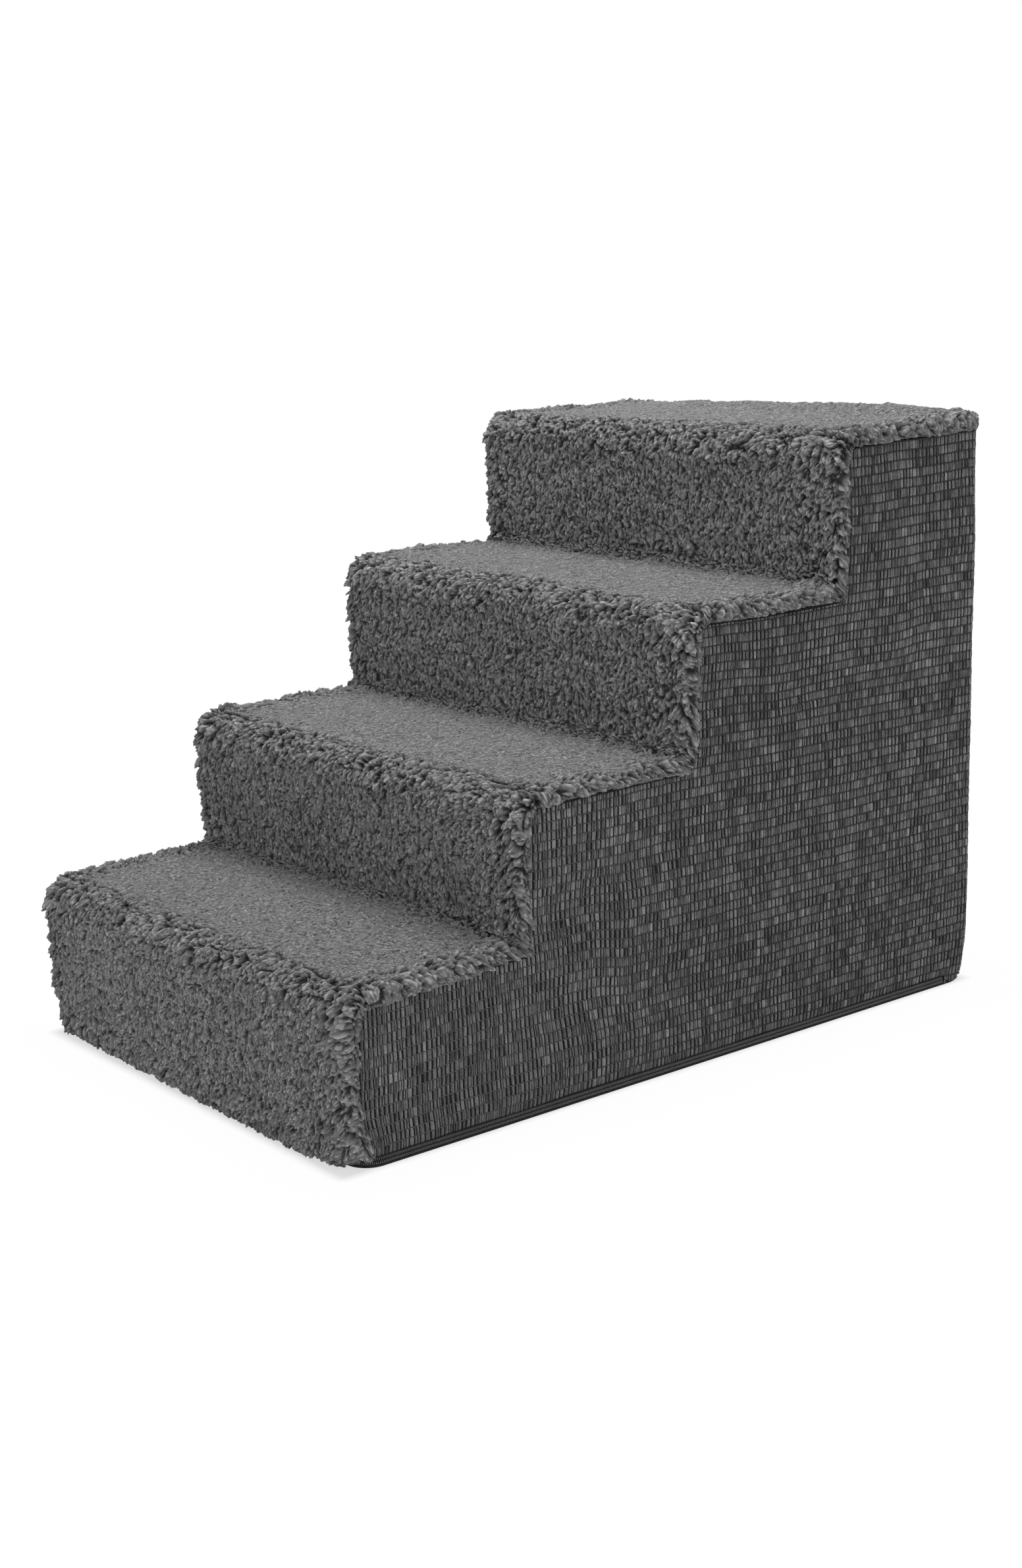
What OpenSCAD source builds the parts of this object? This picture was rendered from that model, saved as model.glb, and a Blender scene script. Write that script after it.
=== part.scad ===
// Four-step foam pet stairs in a zip-off cover.
// The first step faces -Y, the steps rise towards +Y, and the width runs along X.
// The origin is on the floor, at the centre of the whole object's footprint.

/* [Foam core] */
// Depth of one step, from riser to riser
tread_going = 151; // [120:1:200]
// Height of one foam layer
step_rise = 110; // [80:1:150]
// Width of the foam core
foam_w = 395; // [300:1:500]
// Radius of each step's front edge
nose_r = 9; // [4:0.5:14]
// Radius of the lower back edge
heel_r = 18; // [12:0.5:26]

/* [Sherpa runner] */
// Thickness of the sherpa, backing and pile together
pile_t = 15; // [10:0.5:20]
// How much fuller the pile is in the middle of a tread or riser
pile_crown = 1.5; // [0.5:0.25:3]
// How far the pile stands out beyond the woven side panels
pile_bulge = 4; // [2:0.25:7]
// Radius of the pile's crease where a tread meets the next riser
crease_r = 16; // [8:0.5:22]
// How far the front pile hangs below the seam over the zip
pile_drop = 4.5; // [2:0.25:6]

/* [Woven panels] */
// Thickness of the woven side and back panels
panel_t = 2.25; // [1.5:0.25:4]
// Thickness of the base panel
base_t = 0.8; // [0.6:0.1:1.5]
// Radius of the cover's upright back corners
back_corner_r = 7; // [4:0.5:7]
// Angle through which the back panel turns under the heel
heel_wrap = 60; // [40:1:64]

/* [Seams] */
// Thickness of the thread line in a seam
thread_t = 1.0; // [0.6:0.1:1.2]
// How far the side panels stand above the foam at a seam
panel_lift = 1.0; // [0.5:0.1:2]

/* [Zip] */
// Thickness of the zip tapes
tape_t = 0.8; // [0.5:0.1:1.2]
// Height of the upper zip tape
tape_w = 7.9; // [6:0.1:11]
// Gap between the edges of the two tapes, under the coils
tape_slot = 2.4; // [2:0.1:3]
// Height of one coil row
coil_w = 2.5; // [2:0.1:3.5]
// How far the coils stand out from the tape
coil_t = 2.25; // [1.5:0.05:3]
// Radius of the zip round the front corners
zip_corner_r = 16; // [12:0.5:24]
// Length of the zip slider
slider_l = 11; // [9:0.5:15]
// Thickness of the slider's plates
plate_t = 0.9; // [0.7:0.1:1.2]
// Width of the slider's side flanges
flange_w = 1.0; // [0.8:0.1:1.5]
// Length of the pull tab beyond its pivot
tab_l = 20; // [14:0.5:30]
// Thickness of the pull tab
tab_t = 1.0; // [0.8:0.1:1.2]
// Length of each zip stop
stop_l = 2; // [1.5:0.1:3]

/* [Hidden] */
$fn = 64;

// One foam layer for each step
steps = 4;
// Overrun of every cut
overrun = 1;

// Clearances
// Between the foam and the cover
foam_gap = 0.25;
// Between a thread and the fabric beside it
thread_gap = 0.1;
// Between the thread line and the sherpa over it
pile_gap = 0.3;
// Between the slider and what it runs past
slider_gap = 0.3;
// Between the coils and the slider's flanges
coil_side_gap = 0.25;
// Between the two coil rows
coil_gap = 0.1;
// Between the foam's bevel and the upper tape at the corners
bevel_gap = 1.5;
// Between the pull tab and the slider
tab_gap = 0.5;

// The whole footprint, which sets the origin
core_l = steps * tread_going;
whole_l = pile_t + pile_crown + core_l + foam_gap + panel_t;
foam_front = pile_t + pile_crown - whole_l / 2;
foam_back = foam_front + core_l;

// The cover's inner faces and the panels' outer faces
cover_x = foam_w / 2 + foam_gap;
cover_front = foam_front - foam_gap;
cover_back = foam_back + foam_gap;
panel_x = cover_x + panel_t;
panel_back = cover_back + panel_t;

// Zip levels, built up from the base panel
chain_w = 2 * coil_w + coil_gap;
slider_w = chain_w + 2 * (coil_side_gap + flange_w);
zip_z = base_t + slider_gap + slider_w / 2;
hem_z = zip_z + slider_w / 2 + slider_gap;
tape_top = zip_z + tape_slot / 2 + tape_w;

// The foam's bevel clears the upper tape where the tape rounds a front corner
corner_inset = zip_corner_r - (zip_corner_r - tape_t) * cos(45);
zip_bevel = tape_top - base_t + corner_inset + bevel_gap;

// Where the zip ends near the back, and where the slider parks
zip_end_gap = 16;
zip_end_y = foam_back - zip_end_gap;
tape_tuck = 4;
stop_inset = 8;
stop_y = zip_end_y - stop_inset;
slider_y = stop_y - stop_l / 2 - slider_gap - slider_l / 2;

// The line of thread lies between the panel's edge and the sherpa
thread_low = panel_lift + thread_gap;
thread_high = thread_low + thread_t;
pile_low = thread_high + pile_gap;
seam_slot = thread_t + 2 * thread_gap;

// Height of a layer's top and place of its riser, counted from 1
function top_z(i) = base_t + i * step_rise;
function riser_y(i) = foam_front + (i - 1) * tread_going;

// Radius of the inner crease at a height above the foam
crease_foot_r = 3;
function crease_at(h) = crease_foot_r + (crease_r - crease_foot_r) * h / pile_t;

// Side outline of the stairs, grown by h over risers, noses and treads
// The outline runs back to y_back and down to z_low
module stair_outline(h, y_back, z_low) {
    for (i = [1 : steps]) {
        front = riser_y(i) - h;
        top = top_z(i) + h;
        r = nose_r + h;
        union() {
            translate([front, z_low]) square([y_back - front, top - r - z_low]);
            translate([front + r, z_low]) square([y_back - front - r, top - z_low]);
            translate([front + r, top - r]) circle(r = r);
        }
        if (i > 1) crease_fill(riser_y(i) - h, top_z(i - 1) + h, crease_at(h));
    }
}

// Fillet that fills the corner between a tread and the next riser
module crease_fill(y, z, r) {
    difference() {
        translate([y - r, z]) square([r, r]);
        translate([y - r, z + r]) circle(r = r);
    }
}

// Stands a side outline, drawn in Y and Z, up along X from x_low
module along_x(x_low, width) {
    translate([x_low, 0, 0]) rotate([90, 0, 90]) linear_extrude(width) children();
}

// Foam core: one slab for each step, glued face to face

module foam_layer(i) {
    color("#d9d4c4")
    if (i == 1) intersection() {
        foam_slab(i);
        foam_width_outline();
    }
    else foam_slab(i);
}

module foam_slab(i) {
    along_x(-foam_w / 2, foam_w) foam_outline(i);
}

module foam_outline(i) {
    low = top_z(i - 1);
    high = top_z(i);
    front = riser_y(i);
    difference() {
        union() {
            translate([front, low]) square([foam_back - front, step_rise - nose_r]);
            translate([front + nose_r, low]) square([foam_back - front - nose_r, step_rise]);
            translate([front + nose_r, high - nose_r]) circle(r = nose_r);
        }
        if (i == 1) {
            bevel_corner(front, low);
            difference() {
                translate([foam_back - heel_r, low - overrun])
                    square([heel_r + overrun, heel_r + overrun]);
                translate([foam_back - heel_r, low + heel_r]) circle(r = heel_r);
            }
        }
    }
}

// Triangle cut off a lower edge that lies at (y, z) and faces -Y
module bevel_corner(y, z) {
    polygon([
        [y - overrun, z - overrun],
        [y + zip_bevel, z - overrun],
        [y + zip_bevel, z],
        [y, z + zip_bevel],
        [y - overrun, z + zip_bevel]
    ]);
}

// The lowest layer across its width, with both lower side edges bevelled for the zip
module foam_width_outline() {
    rotate([90, 0, 0])
    translate([0, 0, -foam_back - overrun])
    linear_extrude(core_l + 2 * overrun)
    polygon([
        [-foam_w / 2 + zip_bevel, base_t],
        [foam_w / 2 - zip_bevel, base_t],
        [foam_w / 2, base_t + zip_bevel],
        [foam_w / 2, top_z(1)],
        [-foam_w / 2, top_z(1)],
        [-foam_w / 2, base_t + zip_bevel]
    ]);
}

// Sherpa runner: a cross-section swept up the stairs
// A station is [kind, y, z, angle, lowest share, highest share, crown share]
// Its angle is the surface normal's: 0 faces the front and 90 faces up

PLAIN = 0;
CREASE = 1;
nose_parts = 5;
crease_parts = 4;
mid_shares = [0.3, 0.7];

// Half of the cross-section, from the inner corner out round the bulge to the middle
// Each point is [x, height above the foam, share of the crown]
bulge_w = panel_t + pile_bulge;
edge_shares = [[0.8, 0.29], [1, 0.5], [0.82, 0.73], [0.2, 0.91], [-1.4, 0.975]];
overhang_share = 0.45;
mid_x_share = 0.45;
mid_crown_share = 0.75;
half_section = concat(
    [
        [cover_x - thread_gap, foam_gap, 0],
        [cover_x - thread_gap, pile_low, 0],
        [cover_x + overhang_share * bulge_w, pile_low + thread_gap, 0]
    ],
    [for (e = edge_shares) [cover_x + e[0] * bulge_w, e[1] * pile_t, 0]],
    [[cover_x * mid_x_share, pile_t * 0.99, mid_crown_share]]
);
half_n = len(half_section);
section = concat(
    half_section,
    [[0, pile_t, 1]],
    [for (k = [half_n - 1 : -1 : 0]) [-half_section[k][0], half_section[k][1], half_section[k][2]]]
);
section_n = len(section);

// Lower end, where the pile hangs over the zip, as [height above the floor, low, high]
front_rise = nose_r * 1.2;
drop_stations = [
    [hem_z - pile_drop, 0.46, 0.58],
    [hem_z - pile_drop * 0.62, 0.32, 0.8],
    [hem_z - pile_drop * 0.05, 0.24, 0.92],
    [hem_z + thread_gap, 0, 0.93],
    [hem_z + front_rise, 0, 1]
];
// Upper end over the back seam, as [distance in front of the panel's outer face, low, high]
tail_stations = [
    [panel_t * 5, 0, 0.98],
    [panel_t * 2, 0, 0.9],
    [panel_t + thread_gap * 2, 0, 0.82],
    [panel_t, pile_low / pile_t, 0.8],
    [0, 0.3, 0.62]
];

function nose_stations(i) = [
    for (k = [0 : nose_parts])
        let (a = 90 * k / nose_parts)
        [
            PLAIN,
            riser_y(i) + nose_r - nose_r * cos(a),
            top_z(i) - nose_r + nose_r * sin(a),
            a, 0, 1, 0
        ]
];
function crease_stations(i) = [
    for (k = [0 : crease_parts])
        [CREASE, riser_y(i + 1), top_z(i), 90 - 90 * k / crease_parts, 0, 1, 0]
];
tread_run = tread_going - nose_r - pile_t - crease_r;
riser_run = step_rise - nose_r - pile_t - crease_r;
function tread_stations(i) = [
    for (s = mid_shares) [PLAIN, riser_y(i) + nose_r + s * tread_run, top_z(i), 90, 0, 1, 1]
];
function riser_stations(i) = [
    for (s = mid_shares)
        [PLAIN, riser_y(i), top_z(i) - nose_r - (1 - s) * riser_run, 0, 0, 1, 1]
];
function step_stations(i) = concat(
    riser_stations(i),
    nose_stations(i),
    tread_stations(i),
    i < steps ? crease_stations(i) : []
);
stations = concat(
    [for (d = drop_stations) [PLAIN, foam_front, d[0], 0, d[1], d[2], 0]],
    [for (i = [1 : steps]) each step_stations(i)],
    [for (t = tail_stations) [PLAIN, panel_back - t[0], top_z(steps), 90, t[1], t[2], 0]]
);
station_n = len(stations);

// Height of a section point at a station, squeezed between the station's shares
function squeezed(s, h) =
    s[4] == 0 && s[5] == 1 ? h :
    let (low = max(s[4] * pile_t, foam_gap), high = s[5] * pile_t)
    low + (h - foam_gap) / (pile_t - foam_gap) * (high - low);

function surface_point(s, p) =
    let (h = squeezed(s, p[1]) + s[6] * p[2] * pile_crown, r = crease_at(h))
    s[0] == PLAIN
        ? [p[0], s[1] - h * cos(s[3]), s[2] + h * sin(s[3])]
        : [p[0], s[1] - h - r + r * cos(s[3]), s[2] + h + r - r * sin(s[3])];

runner_points = [for (s = stations) for (p = section) surface_point(s, p)];

function wrap(j) = j % section_n;
wall_faces = [
    for (k = [0 : station_n - 2])
        for (j = [0 : section_n - 1])
            let (
                a = k * section_n + j,
                b = k * section_n + wrap(j + 1),
                c = a + section_n,
                d = b + section_n
            )
            each [[a, b, d], [a, d, c]]
];
// An end is filled with strips that join the left and right halves at like heights
function strip_faces(start, flip) = [
    for (j = [0 : half_n - 1])
        let (
            a = start + j,
            b = start + j + 1,
            c = start + section_n - 1 - j,
            d = start + section_n - 2 - j
        )
        each (
            b == d
                ? [flip ? [a, b, c] : [a, c, b]]
                : flip ? [[a, b, c], [b, d, c]] : [[a, c, b], [b, c, d]]
        )
];

module sherpa_runner() {
    color("#7d7d7d")
    polyhedron(
        points = runner_points,
        faces = concat(
            wall_faces,
            strip_faces(0, false),
            strip_faces((station_n - 1) * section_n, true)
        ),
        convexity = 10
    );
}

// Woven side and back panels

// Footprint that rounds the cover's upright back corners
module back_corner_prism() {
    reach = step_rise * (steps + 1);
    linear_extrude(reach)
    union() {
        translate([-panel_x, cover_front - panel_lift - overrun])
            square([2 * panel_x, panel_back - back_corner_r - cover_front + panel_lift + overrun]);
        translate([-panel_x + back_corner_r, cover_front])
            square([2 * (panel_x - back_corner_r), panel_back - cover_front]);
        for (side = [-1, 1])
            translate([side * (panel_x - back_corner_r), panel_back - back_corner_r])
                circle(r = back_corner_r);
    }
}

// Stepped side panel, hemmed above the zip and sewn to the base behind the zip's end
module side_panel(x_low) {
    color("#484848")
    intersection() {
        along_x(x_low, panel_t)
        difference() {
            stair_outline(panel_lift, panel_back, base_t);
            translate([foam_front - step_rise, 0])
                square([zip_end_y - foam_front + step_rise, hem_z]);
            heel_cut(heel_r + foam_gap + panel_t);
        }
        back_corner_prism();
    }
}

// What lies outside the lower back curve, of radius r about the foam's heel
module heel_cut(r) {
    difference() {
        translate([foam_back - heel_r, -overrun])
            square([r + overrun, base_t + heel_r + overrun]);
        translate([foam_back - heel_r, base_t + heel_r]) circle(r = r);
    }
}

module back_panel() {
    half_w = cover_x - seam_slot;
    color("#484848")
    intersection() {
        along_x(-half_w, 2 * half_w) {
            translate([cover_back, base_t + heel_r])
                square([panel_t, top_z(steps) + panel_lift - base_t - heel_r]);
            heel_band();
        }
        back_corner_prism();
    }
}

// The part of the back panel that turns under the heel, as a bent band
module heel_band() {
    reach = heel_r * 3;
    translate([foam_back - heel_r, base_t + heel_r])
    intersection() {
        difference() {
            circle(r = heel_r + foam_gap + panel_t);
            circle(r = heel_r + foam_gap);
        }
        polygon([
            [0, 0],
            [reach, 0],
            [reach, -reach * sin(heel_wrap)],
            [reach * cos(heel_wrap), -reach * sin(heel_wrap)]
        ]);
    }
}

// Where the heel band ends, which is where the base seam lies
heel_end_y = foam_back - heel_r + (heel_r + foam_gap) * cos(heel_wrap);
base_back_y = heel_end_y - thread_gap;

module base_panel() {
    color("#2c2c2c")
    linear_extrude(base_t) base_outline();
}

module base_outline() {
    front_outline(cover_x, cover_front, base_back_y, zip_corner_r);
}

// Footprint with two rounded front corners of radius r
module front_outline(half_w, front, back, r) {
    translate([-half_w, front + r]) square([2 * half_w, back - front - r]);
    translate([-half_w + r, front]) square([2 * (half_w - r), r + overrun]);
    for (side = [-1, 1])
        translate([side * (half_w - r), front + r]) circle(r = r);
}

// Seam threads

// Thread line between a side panel's stepped edge and the runner
module side_seam_thread(side) {
    x_low = side * (cover_x + panel_t / 2) - thread_t / 2;
    color("#303030")
    along_x(x_low, thread_t)
    difference() {
        stair_outline(thread_high, cover_back, hem_z);
        stair_outline(thread_low, panel_back, 0);
    }
}

// Thread line between the back panel's top edge and the runner
module seam_thread_top() {
    color("#303030")
    translate([-cover_x, cover_back + (panel_t - thread_t) / 2, top_z(steps) + thread_low])
        cube([2 * cover_x, thread_t, thread_t]);
}

// Upright thread line in the slot between the back panel and a side panel
module back_seam_thread(side) {
    x_mid = side * (cover_x - seam_slot / 2);
    foot_z = base_t + heel_r;
    color("#303030")
    translate([x_mid - thread_t / 2, cover_back + thread_gap, foot_z])
        cube([thread_t, thread_t, top_z(steps) + panel_lift - foot_z]);
}

// Thread line where the back panel meets the base
module seam_thread_base() {
    half_w = cover_x - seam_slot;
    color("#303030")
    translate([-half_w, base_back_y, 0])
        cube([2 * half_w, thread_t, base_t]);
}

// Zip

// Sweeps a section along the left side, the front and the right side
// The section's X is the distance outwards from the cover and its Y is the height
module along_zip(left_end, right_end) {
    corner_y = cover_front + zip_corner_r;
    corner_x = cover_x - zip_corner_r;
    translate([-cover_x, left_end, 0]) rotate([90, 0, 0])
        linear_extrude(left_end - corner_y) mirror([1, 0, 0]) children();
    translate([-corner_x, corner_y, 0]) rotate([0, 0, 180])
        rotate_extrude(angle = 90) translate([zip_corner_r, 0]) children();
    translate([-corner_x, cover_front, 0]) rotate([90, 0, 90])
        linear_extrude(2 * corner_x) mirror([1, 0, 0]) children();
    translate([corner_x, corner_y, 0]) rotate([0, 0, 270])
        rotate_extrude(angle = 90) translate([zip_corner_r, 0]) children();
    translate([cover_x, right_end, 0]) rotate([90, 0, 0])
        linear_extrude(right_end - corner_y) children();
}

module zip_tape(low, high) {
    end = zip_end_y + tape_tuck;
    color("#2b2b2b")
    along_zip(end, end) translate([-tape_t, low]) square([tape_t, high - low]);
}

// The coils stop inside the parked slider, short of its wedge
wedge_l = 4;
wedge_back = 0.5;
coil_left_end = slider_y + wedge_back;

// A coil row: flat against the tape and round on its outer side
module zip_coil(low) {
    r = coil_w / 2;
    color("#3a3a3a")
    along_zip(coil_left_end, stop_y - stop_l / 2)
    intersection() {
        translate([0, low]) square([coil_t, coil_w]);
        union() {
            translate([0, low]) square([coil_t - r, coil_w]);
            translate([coil_t - r, low + r]) circle(r = r);
        }
    }
}

// Places the slider: X runs forwards along the zip, Y up and Z out from the tape
module at_slider() {
    translate([-cover_x, slider_y, zip_z]) rotate([90, 0, -90]) children();
}

// Levels outwards from the tape
inner_plate_out = -tape_t - slider_gap;
outer_plate_in = coil_t + slider_gap;
outer_plate_out = outer_plate_in + plate_t;
post_w = tape_slot - 2 * slider_gap;
wedge_w = post_w * 1.8;
wedge_x = -wedge_back - wedge_l - slider_gap;
plate_corner_r = 1.2;

// Bail on the outer plate, under which the pull tab's bar turns
bail_w = 1.6;
bail_t = 0.75;
bail_foot = 1;
bail_reach = 3.7;
bail_room = 2 * tab_gap + tab_t;
pivot_out = outer_plate_out + bail_room / 2;

module zip_slider() {
    color("#4a4a4a")
    at_slider() {
        translate([0, 0, inner_plate_out - plate_t]) slider_plate();
        translate([0, 0, outer_plate_in]) slider_plate();
        for (side = [-1, 1])
            translate([-slider_l / 2 + plate_corner_r, side * (slider_w - flange_w) / 2 - flange_w / 2,
                slider_gap])
                cube([slider_l - 2 * plate_corner_r, flange_w, outer_plate_out - slider_gap]);
        translate([wedge_x, -post_w / 2, inner_plate_out - plate_t])
            cube([wedge_l, post_w, outer_plate_out - inner_plate_out + plate_t]);
        translate([wedge_x, 0, slider_gap])
            linear_extrude(outer_plate_out - slider_gap) wedge_outline();
        slider_bail();
    }
}

module slider_plate() {
    r = plate_corner_r;
    linear_extrude(plate_t) {
        square([slider_l - 2 * r, slider_w], center = true);
        square([slider_l, slider_w - 2 * r], center = true);
        for (x = [-1, 1], y = [-1, 1])
            translate([x * (slider_l / 2 - r), y * (slider_w / 2 - r)]) circle(r = r);
    }
}

module wedge_outline() {
    polygon([
        [0, -wedge_w / 2],
        [wedge_l / 2, -wedge_w / 2],
        [wedge_l, -post_w / 2],
        [wedge_l, post_w / 2],
        [wedge_l / 2, wedge_w / 2],
        [0, wedge_w / 2]
    ]);
}

module slider_bail() {
    height = bail_room + bail_t;
    translate([-bail_reach, -bail_w / 2, outer_plate_out])
    difference() {
        cube([2 * bail_reach, bail_w, height]);
        translate([bail_foot, -overrun, -overrun])
            cube([2 * (bail_reach - bail_foot), bail_w + 2 * overrun, bail_room + overrun]);
    }
}

// Pull tab, lying flat over the closed zip, with its pivot bar under the bail
tab_w = 5;
eye_w = bail_w + 2 * tab_gap * 0.8;
eye_l = sqrt(bail_reach * bail_reach + pow(bail_room / 2 + bail_t, 2)) + tab_gap;

module zip_pull_tab() {
    color("#4a4a4a")
    at_slider()
    translate([0, 0, pivot_out]) {
        difference() {
            translate([0, 0, -tab_t / 2]) linear_extrude(tab_t) tab_outline();
            translate([-tab_t, -eye_w / 2, -tab_t]) cube([tab_t + eye_l, eye_w, 2 * tab_t]);
        }
        rotate([90, 0, 0]) cylinder(r = tab_t / 2, h = eye_w + tab_t, center = true);
    }
}

module tab_outline() {
    r = tab_w / 2;
    translate([-tab_t / 2, -r]) square([tab_l - r + tab_t / 2, tab_w]);
    translate([tab_l - r, 0]) circle(r = r);
}

// Crimped stops: one on each tape where the slider parks, and one across both coils
stop_t = 0.5;
stop_grip = 1.8;

module zip_top_stops() {
    color("#4a4a4a")
    for (side = [-1, 1])
        difference() {
            translate([
                -cover_x - stop_t, stop_y - stop_l / 2,
                zip_z + side * (tape_slot / 2 - stop_t + (stop_t + stop_grip) / 2) - (stop_t + stop_grip) / 2
            ])
                cube([tape_t + 2 * stop_t, stop_l, stop_t + stop_grip]);
            translate([
                -cover_x, stop_y - stop_l,
                zip_z + (side > 0 ? tape_slot / 2 : -tape_slot / 2 - stop_grip - overrun)
            ])
                cube([tape_t, 2 * stop_l, stop_grip + overrun]);
        }
}

module zip_bottom_stop() {
    outer_w = chain_w + 2 * stop_t;
    color("#4a4a4a")
    translate([cover_x, stop_y - stop_l / 2, zip_z - outer_w / 2])
        cube([coil_t, stop_l, outer_w]);
}

foam_layer(1);  // foam_layer_1
foam_layer(2);  // foam_layer_2
foam_layer(3);  // foam_layer_3
foam_layer(4);  // foam_layer_4
sherpa_runner();
side_panel(-panel_x);  // side_panel_left
side_panel(cover_x);  // side_panel_right
back_panel();
base_panel();
side_seam_thread(-1);  // seam_thread_left
side_seam_thread(1);  // seam_thread_right
seam_thread_top();
back_seam_thread(-1);  // seam_thread_back_left
back_seam_thread(1);  // seam_thread_back_right
seam_thread_base();
zip_tape(zip_z + tape_slot / 2, tape_top);  // zip_tape_upper
zip_tape(base_t, zip_z - tape_slot / 2);  // zip_tape_lower
zip_coil(zip_z + coil_gap / 2);  // zip_coil_upper
zip_coil(zip_z - coil_gap / 2 - coil_w);  // zip_coil_lower
zip_slider();
zip_pull_tab();
zip_top_stops();
zip_bottom_stop();
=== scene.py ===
# %% [markdown]
# # Foam pet stairs in a zip-off cover
# This lesson dresses a finished CAD model. The model fixes every size and place: we only replace
# its soft solids with cloth, pile and thread that have the look of the real ones.
# All sizes below are in millimetres, and each mesh is scaled to metres when it is made.

# %% The frame
import math

import bpy
import numpy as np
from mathutils import Matrix, Vector


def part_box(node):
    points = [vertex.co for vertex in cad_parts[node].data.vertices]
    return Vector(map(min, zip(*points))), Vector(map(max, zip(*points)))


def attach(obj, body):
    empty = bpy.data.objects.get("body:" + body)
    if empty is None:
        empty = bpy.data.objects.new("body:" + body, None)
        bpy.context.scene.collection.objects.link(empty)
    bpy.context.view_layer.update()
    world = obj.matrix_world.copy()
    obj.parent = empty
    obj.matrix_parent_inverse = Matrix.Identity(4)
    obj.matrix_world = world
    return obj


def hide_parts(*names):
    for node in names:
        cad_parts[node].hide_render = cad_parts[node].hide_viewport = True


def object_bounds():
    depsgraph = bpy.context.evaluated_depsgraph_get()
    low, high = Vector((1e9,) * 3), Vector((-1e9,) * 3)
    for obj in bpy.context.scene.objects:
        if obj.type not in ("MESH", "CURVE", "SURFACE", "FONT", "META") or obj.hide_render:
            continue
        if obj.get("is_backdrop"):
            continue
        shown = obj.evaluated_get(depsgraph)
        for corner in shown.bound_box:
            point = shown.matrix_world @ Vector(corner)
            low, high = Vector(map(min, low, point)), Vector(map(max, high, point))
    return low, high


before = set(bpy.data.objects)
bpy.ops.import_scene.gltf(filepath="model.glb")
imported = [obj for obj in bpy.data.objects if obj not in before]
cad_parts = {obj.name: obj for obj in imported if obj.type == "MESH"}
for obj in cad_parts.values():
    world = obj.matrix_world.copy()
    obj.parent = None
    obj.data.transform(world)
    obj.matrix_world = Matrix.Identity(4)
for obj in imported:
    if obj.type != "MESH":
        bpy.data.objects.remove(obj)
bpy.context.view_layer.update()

MM = 0.001
seeded = np.random.default_rng(11)


def corners(node):
    """A CAD node's lowest and highest corners, in millimetres."""
    low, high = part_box(node)
    return np.array(low) / MM, np.array(high) / MM


# %% [markdown]
# ## Sizes taken from the model
# A cover fits its core. So the places of the steps are read from the four foam layers, and the
# cloth is laid at a height above that foam: the woven panels end 1 mm over it, the pile 15 mm.

# %% Steps, cover and seam
foam_names = [f"foam_layer_{i}" for i in (1, 2, 3, 4)]
layers = [corners(name) for name in foam_names]
riser_y = [low[1] for low, high in layers]
layer_top = [high[2] for low, high in layers]
foam_back = layers[0][1][1]
slab_height = 110
cover_x = -corners("side_panel_left")[1][0]
panel_x = -corners("side_panel_left")[0][0]
panel_back = corners("back_panel")[1][1]
nose_r = 9.0
heel_r = 18.0
heel_y, heel_z = foam_back - heel_r, layer_top[0] - slab_height + heel_r
pile_t = 15.0
panel_lift = 1.0
hem_z = 7.4
# The slider runs along the left side, so the cloth, the foam and the pile leave room for it there
slider_travel = 550
slider_clear_z = corners("zip_slider")[1][2] + 0.4
slider_in_x = -corners("zip_slider")[1][0] - 0.5
tab_end_y = corners("zip_pull_tab")[0][1] - slider_travel - 1.2
print("risers at", np.round(riser_y, 1), "treads at", np.round(layer_top, 1), "cover", cover_x, panel_x)


# %% [markdown]
# ## Meshes from arrays
# Pile and weave need a few hundred thousand points. Blender's operators are slow at that, so the
# points are worked out with numpy and handed to a mesh in one go.

# %% Mesh helpers
def add_map(mesh, name, values):
    """A UV map, from one pair of values for each point."""
    corner_points = np.empty(len(mesh.loops), np.int32)
    mesh.loops.foreach_get("vertex_index", corner_points)
    layer = mesh.uv_layers.new(name=name)
    layer.data.foreach_set("uv", values[corner_points].astype(np.float32).ravel())


def add_value(mesh, name, values):
    """A named number for each point, which a material can read."""
    attribute = mesh.attributes.new(name, "FLOAT", "POINT")
    attribute.data.foreach_set("value", values.astype(np.float32).ravel())


def new_piece(name, points, faces, finish, cloth=None, replaced=()):
    """A smooth mesh that rides on the stairs; cloth is the place of each point on the flat sheet."""
    points = points.reshape(-1, 3) * MM
    count, sides = faces.shape
    mesh = bpy.data.meshes.new(name)
    mesh.vertices.add(len(points))
    mesh.vertices.foreach_set("co", points.astype(np.float32).ravel())
    mesh.loops.add(count * sides)
    mesh.loops.foreach_set("vertex_index", faces.astype(np.int32).ravel())
    mesh.polygons.add(count)
    mesh.polygons.foreach_set("loop_start", np.arange(0, count * sides, sides, dtype=np.int32))
    mesh.polygons.foreach_set("use_smooth", np.ones(count, bool))
    mesh.update(calc_edges=True)
    if cloth is not None:
        cloth = cloth.reshape(-1, 2)
        low, high = cloth.min(0), cloth.max(0)
        add_map(mesh, "OFBake", 0.005 + 0.99 * (cloth - low) / (high - low))
        add_map(mesh, "Cloth", cloth * MM)
    mesh.materials.append(finish)
    piece = bpy.data.objects.new(name, mesh)
    bpy.context.scene.collection.objects.link(piece)
    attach(piece, "stairs")
    if replaced:
        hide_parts(*replaced)
    return piece


def grid_faces(rows, columns, closed=False):
    """Four-cornered faces over a grid of points; closed joins the last column to the first."""
    j = np.arange(rows - 1)[:, None] * columns
    i = np.arange(columns if closed else columns - 1)
    k = (i + 1) % columns
    return np.stack([j + i, j + k, j + columns + k, j + columns + i], -1).reshape(-1, 4)


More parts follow.
